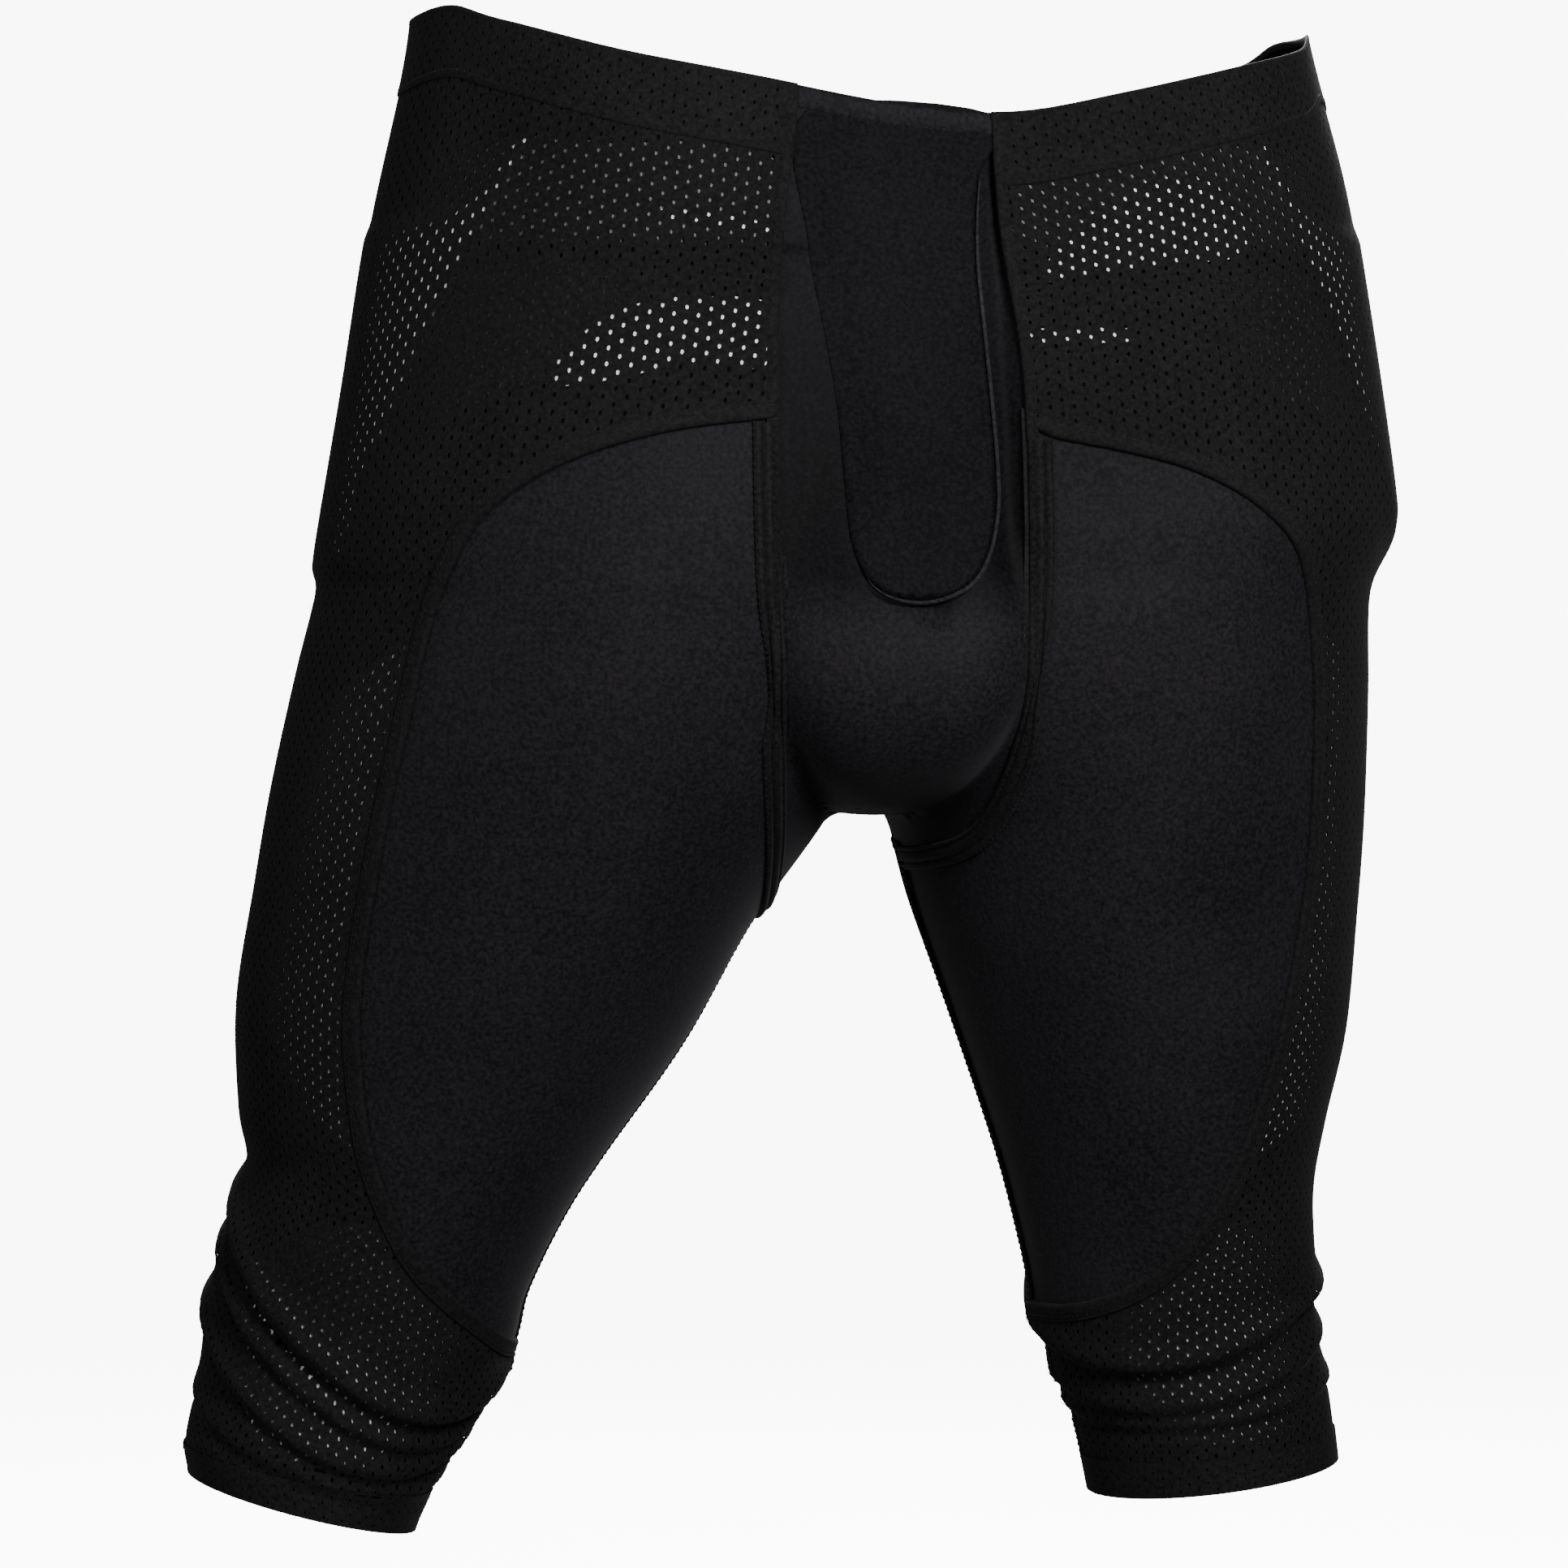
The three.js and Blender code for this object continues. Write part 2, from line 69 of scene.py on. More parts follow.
# Sections of each leg: outer down, outer out, inner down, inner out, front, back, square.
# Downs are shares of LENGTH, outs of HALF_WIDTH and depths of HALF_DEPTH.
RIGHT_LEG = [
    (-0.057, 0.82, -0.057, -0.2, 0.79, 0.74, 5),
    (0.011, 0.84, 0.011, -0.2, 0.8, 0.77, 5),
    (0.121, 0.905, 0.121, -0.18, 0.83, 0.88, 5),
    (0.231, 0.953, 0.235, -0.15, 0.85, 0.97, 4.5),
    (0.34, 1.003, 0.35, -0.1, 0.86, 1, 4),
    (0.366, 1.006, 0.385, -0.075, 0.86, 0.99, 3.6),
    (0.422, 1.044, 0.44, -0.03, 0.84, 0.95, 3),
    (0.496, 1.089, 0.516, 0.06, 0.78, 0.84, 2.4),
    (0.561, 1.12, 0.59, 0.2, 0.71, 0.73, 2.2),
    (0.64, 1.154, 0.67, 0.325, 0.63, 0.63, 2),
    (0.712, 1.15, 0.746, 0.475, 0.55, 0.55, 2),
    (0.75, 1.135, 0.788, 0.55, 0.51, 0.51, 2),
    (0.795, 1.175, 0.836, 0.615, 0.47, 0.49, 2),
    (0.835, 1.205, 0.872, 0.643, 0.44, 0.47, 2),
    (0.89, 1.225, 0.92, 0.722, 0.41, 0.43, 2),
    (0.932, 1.248, 0.964, 0.79, 0.39, 0.4, 2),
    (0.956, 1.24, 0.996, 0.83, 0.38, 0.39, 2),
    (0.98, 1.24, 1.02, 0.84, 0.38, 0.39, 2),
]
LEFT_LEG = [
    (-0.057, 0.81, -0.057, -0.2, 0.79, 0.74, 5),
    (0.011, 0.853, 0.011, -0.2, 0.8, 0.77, 5),
    (0.093, 0.914, 0.104, -0.18, 0.82, 0.86, 5),
    (0.176, 0.955, 0.19, -0.16, 0.84, 0.93, 4.5),
    (0.286, 1, 0.294, -0.12, 0.85, 1, 4),
    (0.32, 1.004, 0.335, -0.09, 0.86, 1, 3.8),
    (0.347, 0.978, 0.37, -0.07, 0.86, 0.99, 3.5),
    (0.372, 0.957, 0.4, -0.05, 0.86, 0.98, 3.2),
    (0.436, 0.956, 0.46, 0, 0.83, 0.92, 2.8),
    (0.519, 0.95, 0.523, 0.068, 0.77, 0.82, 2.4),
    (0.587, 0.938, 0.578, 0.108, 0.71, 0.74, 2.2),
    (0.663, 0.92, 0.653, 0.18, 0.63, 0.64, 2),
    (0.725, 0.882, 0.716, 0.24, 0.56, 0.57, 2),
    (0.773, 0.86, 0.761, 0.279, 0.51, 0.52, 2),
    (0.826, 0.866, 0.814, 0.316, 0.46, 0.49, 2),
    (0.856, 0.865, 0.867, 0.349, 0.43, 0.46, 2),
    (0.909, 0.892, 0.924, 0.409, 0.4, 0.43, 2),
    (0.958, 0.91, 0.981, 0.445, 0.38, 0.4, 2),
    (0.983, 0.914, 1.006, 0.452, 0.38, 0.4, 2),
]
# The crotch column: down, half width, front, back, square.
CROTCH = [
    (-0.057, 0.2, 0.7, 0.4, 3),
    (0.15, 0.24, 0.79, 0.4, 3),
    (0.3, 0.28, 0.86, 0.4, 3.5),
    (0.37, 0.3, 0.91, 0.4, 4),
    (0.42, 0.29, 0.93, 0.42, 4),
    (0.46, 0.25, 0.89, 0.44, 3.5),
    (0.49, 0.19, 0.78, 0.46, 3),
    (0.508, 0.13, 0.62, 0.42, 2.5),
    (0.516, 0.07, 0.44, 0.3, 2),
]
# Creases of slack cloth above the cuffs: down, slant, sag (shares of LENGTH), height and width in mm.
RIGHT_FOLDS = [
    (0.832, 0.04, 0.057, 3.6, 6.5),
    (0.858, 0.035, 0.052, 2.2, 4.5),
    (0.885, 0.022, 0.05, 2.6, 5),
    (0.925, 0.012, 0.025, 1.2, 5),
]
LEFT_FOLDS = [
    (0.842, 0.019, 0.034, 3.2, 6.5),
    (0.881, 0.014, 0.024, 2.2, 5),
    (0.907, 0.005, 0.012, 1.5, 4.5),
]

# Outlines as the front shows them: out and down, in shares of HALF_WIDTH and LENGTH.
WAIST_EDGE = [
    (-0.9, -0.003), (-0.79, -0.018), (-0.7, -0.006), (-0.5, 0.016), (-0.25, 0.033), (-0.015, 0.048),
    (0.19, 0.053), (0.4, 0.039), (0.65, 0.017), (0.78, 0.003), (0.83, -0.011), (0.9, 0),
]
FRONT_PANEL = [
    (-0.18, -0.12), (-0.187, 0.03), (-0.225, 0.16), (-0.23, 0.3), (-0.215, 0.43), (-0.19, 0.52),
    (-0.15, 0.59), (-0.03, 0.56), (0.08, 0.54), (0.15, 0.525), (0.19, 0.492), (0.215, 0.44),
    (0.222, 0.35), (0.212, 0.23), (0.17, 0.13), (0.158, 0.03), (0.17, -0.12),
]
RIGHT_THIGH = [
    (-0.05, 0.252), (-0.232, 0.258), (-0.435, 0.268), (-0.62, 0.29), (-0.75, 0.325), (-0.822, 0.38),
    (-0.868, 0.45), (-0.918, 0.54), (-0.953, 0.633), (-0.944, 0.7), (-0.914, 0.75), (-0.84, 0.805),
    (-0.726, 0.846), (-0.62, 0.872), (-0.45, 0.88), (-0.25, 0.8), (0.02, 0.6),
]
LEFT_THIGH = [
    (0.05, 0.25), (0.258, 0.269), (0.402, 0.279), (0.531, 0.292), (0.65, 0.315), (0.733, 0.35),
    (0.765, 0.42), (0.769, 0.5), (0.755, 0.58), (0.703, 0.684), (0.619, 0.767), (0.52, 0.815),
    (0.405, 0.842), (0.3, 0.85), (0.18, 0.84), (0.08, 0.74), (0, 0.6),
]
FLY_PAD = [
    (-0.178, 0.062), (-0.175, 0.145), (-0.148, 0.2), (-0.124, 0.25), (-0.112, 0.3), (-0.1, 0.342),
    (-0.058, 0.37), (0.03, 0.377), (0.115, 0.363), (0.157, 0.325), (0.16, 0.28), (0.143, 0.215),
    (0.127, 0.155), (0.132, 0.105), (0.156, 0.062),
]
CHANNEL = [(-30, 33), (-60, 30), (-100, 33), (-150, 36), (-185, 37)]  # height and out, beside the tongue
# Pad outlines, with out growing to the wearer's own side
HIP_LOBE = [
    (0.64, 0.066), (0.72, 0.12), (0.83, 0.2), (0.93, 0.29), (0.99, 0.355), (1.15, 0.34), (1.15, 0.13),
    (0.87, 0.128), (0.76, 0.12), (0.69, 0.085),
]
RIGHT_LOBES = [
    [
        (0.24, 0.187), (0.37, 0.182), (0.48, 0.187), (0.57, 0.205), (0.64, 0.238), (0.52, 0.236),
        (0.38, 0.225), (0.24, 0.227),
    ],
    [(0.2, 0.139), (0.33, 0.129), (0.43, 0.126), (0.44, 0.131), (0.33, 0.136), (0.2, 0.147)],
]
LEFT_LOBES = [
    [
        (0.24, 0.168), (0.31, 0.133), (0.42, 0.106), (0.54, 0.102), (0.62, 0.124), (0.62, 0.15),
        (0.47, 0.158), (0.33, 0.166),
    ],
    [(0.23, 0.201), (0.31, 0.2), (0.4, 0.2), (0.4, 0.208), (0.31, 0.209), (0.23, 0.209)],
]
THIGH_PAD = [
    (-0.35, 0.44), (0.1, 0.385), (0.7, 0.395), (0.98, 0.48), (0.95, 0.66), (0.5, 0.745),
    (-0.1, 0.725), (-0.4, 0.58),
]
KNEE_PAD = [
    (-0.55, 0.79), (0.1, 0.775), (0.75, 0.8), (0.9, 0.87), (0.6, 0.935), (0, 0.945),
    (-0.5, 0.93), (-0.7, 0.86),
]
# Where the mesh lies flat over the knee pad and shows it
KNEE_SHOWN = {
    -1: [(-0.55, 0.89), (0.2, 0.87), (0.8, 0.865), (0.88, 0.875), (0.6, 0.935), (0, 0.945), (-0.5, 0.93)],
    1: KNEE_PAD,
}
HIP_WEB = [
    (0.22, 0.095), (0.5, 0.082), (0.8, 0.085), (0.95, 0.2), (0.92, 0.27), (0.75, 0.25),
    (0.55, 0.225), (0.22, 0.21),
]
ACROSS_UNIT = 80.0  # millimetres taken for half of a leg's width


def smooth_rows(rows, steps):
    """Rows of a table with steps between them, on a smooth curve through the rows."""
    rows = np.array(rows, float)
    before = np.vstack([2 * rows[0] - rows[1], rows[:-1]])
    after = np.vstack([rows[1:], 2 * rows[-1] - rows[-2]])
    slope = (after - before) / 2
    parts = []
    for share in np.arange(steps) / steps:
        s2, s3 = share**2, share**3
        parts.append(
            (2 * s3 - 3 * s2 + 1) * rows[:-1] + (s3 - 2 * s2 + share) * slope[:-1]
            + (3 * s2 - 2 * s3) * rows[1:] + (s3 - s2) * slope[1:]
        )
    return np.vstack([np.stack(parts, 1).reshape(-1, rows.shape[1]), rows[-1:]])


def smooth_step(value, low, high):
    share = np.clip((value - low) / (high - low), 0, 1)
    return share * share * (3 - 2 * share)


def smooth_min(a, b, width):
    near = np.maximum(width - np.abs(a - b), 0) / width
    return np.minimum(a, b) - near * near * width / 4


def super_radius(across, depth, square):
    """How far out a point lies of a superellipse, 1 on it. Both are shares of its half axes."""
    total = np.abs(across) ** square + np.abs(depth) ** square
    return np.maximum(total, 1e-9) ** (1 / square)


def radial_distance(across, depth, radius):
    return np.hypot(across, depth) * (1 - 1 / radius)


# Fields: negative inside the worn form, and nearly the distance to it in millimetres

FIELD_STEP = 2.0
FIELD_X = np.arange(-280, 281, FIELD_STEP)
FIELD_Z = np.arange(-580, 61, FIELD_STEP)


def sample(grid, x, z):
    """A grid's value over (x, z), between its points."""
    i = np.clip((x - FIELD_X[0]) / FIELD_STEP, 0, len(FIELD_X) - 1.001)
    j = np.clip((z - FIELD_Z[0]) / FIELD_STEP, 0, len(FIELD_Z) - 1.001)
    i0, j0 = i.astype(int), j.astype(int)
    fi, fj = i - i0, j - j0
    low = grid[i0, j0] * (1 - fi) + grid[i0 + 1, j0] * fi
    high = grid[i0, j0 + 1] * (1 - fi) + grid[i0 + 1, j0 + 1] * fi
    return low * (1 - fj) + high * fj


class Leg:
    """One leg with its half of the hips, as a field over its sections."""

    def __init__(self, rows, side, folds):
        self.side = side
        self.folds = folds
        rows = smooth_rows(rows, 8)
        self.place = np.arange(len(rows), dtype=float)
        self.outer = np.stack([side * rows[:, 1] * HALF_WIDTH, -rows[:, 0] * LENGTH], 1)
        self.inner = np.stack([side * rows[:, 3] * HALF_WIDTH, -rows[:, 2] * LENGTH], 1)
        self.front = rows[:, 4] * HALF_DEPTH
        self.back = rows[:, 5] * HALF_DEPTH
        self.square = rows[:, 6]
        self.down = -(self.outer[:, 1] + self.inner[:, 1]) / 2
        share = (FIELD_X[:, None] - self.outer[:, 0]) / (self.inner[:, 0] - self.outer[:, 0])
        heights = self.outer[:, 1] + share * (self.inner[:, 1] - self.outer[:, 1])
        places = [np.interp(-FIELD_Z, -column, self.place) for column in heights]
        self.place_grid = np.array(places)
        self.hem = self.down[-1 - 8]

    def at(self, column, place):
        return np.interp(place, self.place, column)

    def coordinates(self, points):
        """Place along the leg, share across it (1 at the inner side) and depth."""
        x, z = points[..., 0], points[..., 2]
        place = sample(self.place_grid, x, z)
        middle_x = (self.at(self.outer[:, 0], place) + self.at(self.inner[:, 0], place)) / 2
        middle_z = (self.at(self.outer[:, 1], place) + self.at(self.inner[:, 1], place)) / 2
        half_x = (self.at(self.inner[:, 0], place) - self.at(self.outer[:, 0], place)) / 2
        half_z = (self.at(self.inner[:, 1], place) - self.at(self.outer[:, 1], place)) / 2
        half = np.hypot(half_x, half_z)
        across = ((x - middle_x) * half_x + (z - middle_z) * half_z) / half**2
        return place, across, half

    def field(self, points):
        place, across, half = self.coordinates(points)
        y = points[..., 1]
        depth = np.where(y > 0, self.at(self.back, place), self.at(self.front, place))
        square = np.where(across > 0, self.at(self.square, place), 2.0)
        return radial_distance(across * half, y, super_radius(across, y / depth, square))

    def fold_lift(self, points):
        """How far the folds lift the cloth: a slow rise, a steep drop and a crease under it."""
        place, across, _ = self.coordinates(points)
        y = points[..., 1]
        depth = np.where(y > 0, self.at(self.back, place), self.at(self.front, place))
        angle = np.arctan2(y / depth, across)
        down = self.at(self.down, place)
        lift = np.zeros(down.shape)
        for line, slant, sag, height, width in self.folds:
            edge = (line + slant * np.cos(angle) - sag * np.sin(angle)) * LENGTH
            away = down - edge
            rise = np.exp(-((away / width) ** 2))
            drop = np.exp(-((away / (0.4 * width)) ** 2))
            crease = np.exp(-(((away - 0.9 * width) / (0.35 * width)) ** 2))
            lift += height * (np.where(away < 0, rise, drop) - 0.45 * crease)
        return lift


RIGHT = Leg(RIGHT_LEG, -1, RIGHT_FOLDS)
LEFT = Leg(LEFT_LEG, 1, LEFT_FOLDS)
CROTCH_ROWS = smooth_rows(CROTCH, 6)


def crotch_field(points):
    x, y, z = points[..., 0], points[..., 1], points[..., 2]
    half, front, back, square = (
        np.interp(-z / LENGTH, CROTCH_ROWS[:, 0], CROTCH_ROWS[:, k]) for k in (1, 2, 3, 4)
    )
    depth = np.where(y > 0, back, front) * HALF_DEPTH
    radius = super_radius(x / (half * HALF_WIDTH), y / depth, square)
    under = -CROTCH_ROWS[-1, 0] * LENGTH - z
    return np.maximum(radial_distance(x, y, radius), under)


def body_field(points):
    legs = smooth_min(RIGHT.field(points), LEFT.field(points), BLEND)
    return smooth_min(legs, crotch_field(points), BLEND)


def gradient(field, points, step=0.5):
    offsets = step * np.concatenate([np.eye(3), -np.eye(3)])
    values = field(points[..., None, :] + offsets)
    return (values[..., :3] - values[..., 3:]) / (2 * step)


def unit(vectors):
    return vectors / np.maximum(np.linalg.norm(vectors, axis=-1, keepdims=True), 1e-9)


def dot(a, b):
    return np.sum(a * b, axis=-1, keepdims=True)


def settle(points, steps=3):
    """Points moved onto the worn form."""
    for _ in range(steps):
        slope = gradient(body_field, points)
        points = points - slope * body_field(points)[..., None] / np.maximum(dot(slope, slope), 0.2)
    return points


def normals(points):
    return unit(gradient(body_field, points, 1.5))


# Zones: negative inside an outline

def outline(rows, side=1.0):
    """A smooth closed outline through listed rows, in millimetres as (x, z)."""
    points = np.array(rows, float) * (side * HALF_WIDTH, -LENGTH)
    looped = np.vstack([points[-1:], points, points[:2]])
    smooth = smooth_rows(looped, 6)
    return smooth[6:-6 - 1]


def polygon_distance(points, loop):
    """Signed distance over (x, z) to a closed outline, negative inside."""
    x, z = points[..., 0].reshape(-1, 1), points[..., 2].reshape(-1, 1)
    edge_x, edge_z = (np.roll(loop, -1, axis=0) - loop).T
    edge_z = np.where(edge_z == 0, 1e-9, edge_z)
    size = edge_x**2 + edge_z**2
    distances = []
    for part in np.array_split(np.arange(len(x)), len(x) // 2048 + 1):
        away_x, away_z = x[part] - loop[:, 0], z[part] - loop[:, 1]
        share = np.clip((away_x * edge_x + away_z * edge_z) / size, 0, 1)
        nearest = np.sqrt(((away_x - share * edge_x) ** 2 + (away_z - share * edge_z) ** 2).min(axis=1))
        crosses = (away_z < 0) != (away_z < edge_z)
        inside = (crosses & (away_x < away_z / edge_z * edge_x)).sum(axis=1) % 2 == 1
        distances.append(np.where(inside, -nearest, nearest))
    return np.concatenate(distances).reshape(points.shape[:-1])


PANEL_LOOP = outline(FRONT_PANEL)
FLY_LOOP = outline(FLY_PAD)
THIGH_LOOP = {-1: outline(RIGHT_THIGH), 1: outline(LEFT_THIGH)}
EDGE_CURVE = smooth_rows(WAIST_EDGE, 6) * (HALF_WIDTH, -LENGTH)


def waist_height(points):
    """Height of the waist's edge over a point: the back stands higher than the front."""
    edge = np.interp(points[..., 0], EDGE_CURVE[:, 0], EDGE_CURVE[:, 1])
    return edge + points[..., 1] * BACK_RISE / (2 * HALF_DEPTH)


def panel_zone(points):
    return np.maximum(polygon_distance(points, PANEL_LOOP), points[..., 1] - GUSSET_END)


def thigh_zone(points, side):
    return np.maximum(polygon_distance(points, THIGH_LOOP[side]), points[..., 1] - INSEAM_SETBACK)


# Relief: what lifts or sinks the cloth from the smooth form

def bump(points, x, z, wide, tall):
    return np.exp(-(((points[..., 0] - x) / wide) ** 2) - (((points[..., 2] - z) / tall) ** 2))


def pad_ridge(points, loop):
    inside = -polygon_distance(points, loop)
    return smooth_step(inside, -5, 4) * (points[..., 1] < PAD_BACK_EDGE)


HIP_LOOPS = {side: outline(HIP_LOBE, side) for side in (-1, 1)}
FRONT_LOOPS = {
    side: [outline(lobe, side) for lobe in lobes] for side, lobes in ((-1, RIGHT_LOBES), (1, LEFT_LOBES))
}


def relief(points):
    x, y, z = points[..., 0], points[..., 1], points[..., 2]
    lift = np.where(x < 0, RIGHT.fold_lift(points), LEFT.fold_lift(points))
    front = smooth_step(-y, 10, 50)
    # The pouch under the fly tongue, its dimple and the crease above it
    lift += front * 2.5 * bump(points, 8, -235, 34, 30)
    lift -= front * 3.0 * bump(points, 8, -203, 4.5, 4)
    lift -= front * 1.4 * bump(points, 2, -199, 11, 2.2)
    lift -= front * 2.0 * bump(points, -28, -196, 11, 10)
    # Puckers on both panel seams
    lift -= front * 0.8 * bump(points, -41, -82, 6, 3)
    lift += front * 0.8 * bump(points, -42, -77, 10, 2.5)
    lift -= front * 1.0 * bump(points, 40, -88, 8, 2)
    # The hip pads press through the mesh
    for side in (-1, 1):
        lift += 1.3 * pad_ridge(points, HIP_LOOPS[side])
        lift += 0.7 * front * pad_ridge(points, FRONT_LOOPS[side][0])
    # The groove of the seat's middle seam
    behind = smooth_step(y, 20, 60)
    lift -= behind * 3.0 * np.exp(-((x / 9) ** 2)) * smooth_step(-z, 60, 180)
    return lift


def channel(points):
    """The fold that the front panel makes beside the fly tongue."""
    high, out = np.array(CHANNEL).T
    middle = np.interp(-points[..., 2], -high, out)
    ends = smooth_step(-points[..., 2], 24, 60) * (1 - smooth_step(-points[..., 2], 165, 205))
    return -4.0 * ends * np.exp(-(((points[..., 0] - middle) / 5.5) ** 2)) * (points[..., 1] < -30)


def slack(points):
    """1 where the cloth lies in folds above the cuffs, 0 over them."""
    return smooth_step(-points[..., 2], FOLDS_FROM, FOLDS_FULL)


def dress(points, height=0.0):
    """Points of the worn form lifted by the relief and a height."""
    return points + normals(points) * (relief(points) + height)[..., None]


# Charts: the worn form laid out as arc length across a leg and distance down it

class Chart:
    """Settled points of the worn form and their normals over a grid of (across, down)."""

    def __init__(self, across, down, points):
        self.across, self.down = across, down
        self.points = settle(points)
        self.normals = normals(self.points)

    def at(self, across, down):
        """Points and normals at these places, between the grid's own."""
        step_a = self.across[1] - self.across[0]
        step_d = self.down[1] - self.down[0]
        i = np.clip((down - self.down[0]) / step_d, 0, len(self.down) - 1.001)
        j = np.clip((across - self.across[0]) / step_a, 0, len(self.across) - 1.001)
        i0, j0 = i.astype(int), j.astype(int)
        fi, fj = (i - i0)[..., None], (j - j0)[..., None]
        both = []
        for grid in (self.points, self.normals):
            upper = grid[i0, j0] * (1 - fj) + grid[i0, j0 + 1] * fj
            lower = grid[i0 + 1, j0] * (1 - fj) + grid[i0 + 1, j0 + 1] * fj
            both.append(upper * (1 - fi) + lower * fi)
        return both[0], unit(both[1])


CHART_REACH = 350.0  # arc length each way from a leg's outer line
CHART_SLACK = 3.0  # kept beyond the middle and the inseam, where the cloths are cut exactly
CHART_TOP = -8.0
ROW_FADE = 0.3 * LENGTH  # rows follow the waist's edge at the top and the sections from here down


def leg_chart(leg):
    across = np.arange(-CHART_REACH, CHART_REACH + 1, 2.0)
    down = np.arange(CHART_TOP, leg.hem + 8, 2.0)
    turn = np.linspace(-math.pi - 0.8, math.pi + 0.8, 520)
    angle = math.pi - turn
    place = np.interp(down, leg.down, leg.place)[:, None]
    square = np.where(np.cos(angle) > 0, leg.at(leg.square, place), 2.0)
    ratio = 1 / super_radius(np.cos(angle), np.sin(angle), square)
    depth = np.where(np.sin(angle) > 0, leg.at(leg.back, place), leg.at(leg.front, place))
    share = (1 + ratio * np.cos(angle)) / 2
    x = leg.at(leg.outer[:, 0], place) * (1 - share) + leg.at(leg.inner[:, 0], place) * share
    z = leg.at(leg.outer[:, 1], place) * (1 - share) + leg.at(leg.inner[:, 1], place) * share
    rings = np.stack([x, ratio * np.sin(angle) * depth, z], -1)
    fade = smooth_step(down, 0, ROW_FADE)[:, None]
    for _ in range(3):
        wanted = fade * z + (1 - fade) * (waist_height(rings) - down[:, None])
        rings = np.concatenate([rings[..., :2], wanted[..., None]], -1)
        slope = gradient(leg.field, rings)
        slope[..., 2] = 0
        rings = rings - slope * leg.field(rings)[..., None] / np.maximum(dot(slope, slope), 0.2)
    rows = []
    for ring in rings:
        arc = np.concatenate([[0], np.cumsum(np.linalg.norm(np.diff(ring, axis=0), axis=1))])
        arc -= np.interp(0, turn, arc)
        rows.append(np.stack([np.interp(across, arc, ring[:, k]) for k in range(3)], -1))
    rows = np.array(rows)
    inner = leg.coordinates(rows)[1] > 0
    behind = rows[..., 1] > INSEAM_SETBACK
    away = leg.side * rows[..., 0] < 0
    chart = Chart(across, down, rows)
    past_back = (away | (inner & ~behind)) & (across > 20)
    past_front = (away | (inner & behind)) & (across < -20)
    chart.back_limit = np.where(past_back, across, CHART_REACH).min(axis=1) + CHART_SLACK
    chart.front_limit = np.where(past_front, across, -CHART_REACH).max(axis=1) - CHART_SLACK
    return chart


CHARTS = {leg.side: leg_chart(leg) for leg in (RIGHT, LEFT)}
LEGS = {-1: RIGHT, 1: LEFT}


def past_limits(leg, across, down):
    """Beyond the part of a leg's chart that is its own."""
    chart = CHARTS[leg.side]
    back = np.interp(down, chart.down, chart.back_limit)
    front = np.interp(down, chart.down, chart.front_limit)
    return np.maximum(across - back, front - across)


def front_chart():
    """The front of the form as seen straight on, for the fly tongue."""
    across = np.arange(-50, 51, 2.0)
    down = np.arange(-16, 230, 2.0)
    x, z = np.meshgrid(across, -down)
    y = np.full(x.shape, -190.0)
    for _ in range(60):
        y = y + 0.7 * body_field(np.stack([x, y, z], -1))
    return Chart(across, down, np.stack([x, y, z], -1))


PANEL_CHART = front_chart()


# Meshes

def as_groups(faces):
    """Faces as a list of arrays, one for each number of corners."""
    sizes = sorted({len(face) for face in faces})
    return [np.array([face for face in faces if len(face) == size]) for size in sizes]


def turned_out(points, normal, groups):
    """The same faces with their fronts on the normal's side."""
    turned = []
    for group in groups:
        a, b, c = (points[group[:, k]] for k in (0, 1, 2))
        facing = np.sum(np.cross(b - a, c - a) * normal[group[:, 0]], axis=1)
        flip = facing < 0
        group = group.copy()
        group[flip] = group[flip][:, ::-1]
        turned.append(group)
    return turned


def thickened(points, normal, groups, heights_out, heights_in):
    """A cloth with two faces and closed rims: points, groups of faces."""
    groups = turned_out(points, normal, groups)
    count = len(points)
    outer = points + normal * heights_out[:, None]
    inner = points + normal * heights_in[:, None]
    edges = np.vstack([np.stack([g, np.roll(g, -1, axis=1)], -1).reshape(-1, 2) for g in groups])
    keys = np.sort(edges, axis=1)
    keys = keys[:, 0] * count + keys[:, 1]
    _, first, times = np.unique(keys, return_index=True, return_counts=True)
    rim = edges[first[times == 1]]
    walls = np.stack([rim[:, 1], rim[:, 0], rim[:, 0] + count, rim[:, 1] + count], -1)
    back = [group[:, ::-1] + count for group in groups]
    return np.vstack([outer, inner]), [*groups, *back, walls]


def ring_quads(before, after):
    """Quads between closed rings of points."""
    return np.stack([before, np.roll(before, -1, -1), np.roll(after, -1, -1), after], -1).reshape(-1, 4)


def joined(parts):
    """Several (points, groups) as one."""
    points, groups, start = [], [], 0
    for part_points, part_groups in parts:
        points.append(part_points)
        groups += [group + start for group in part_groups]
        start += len(part_points)
    return np.vstack(points), groups


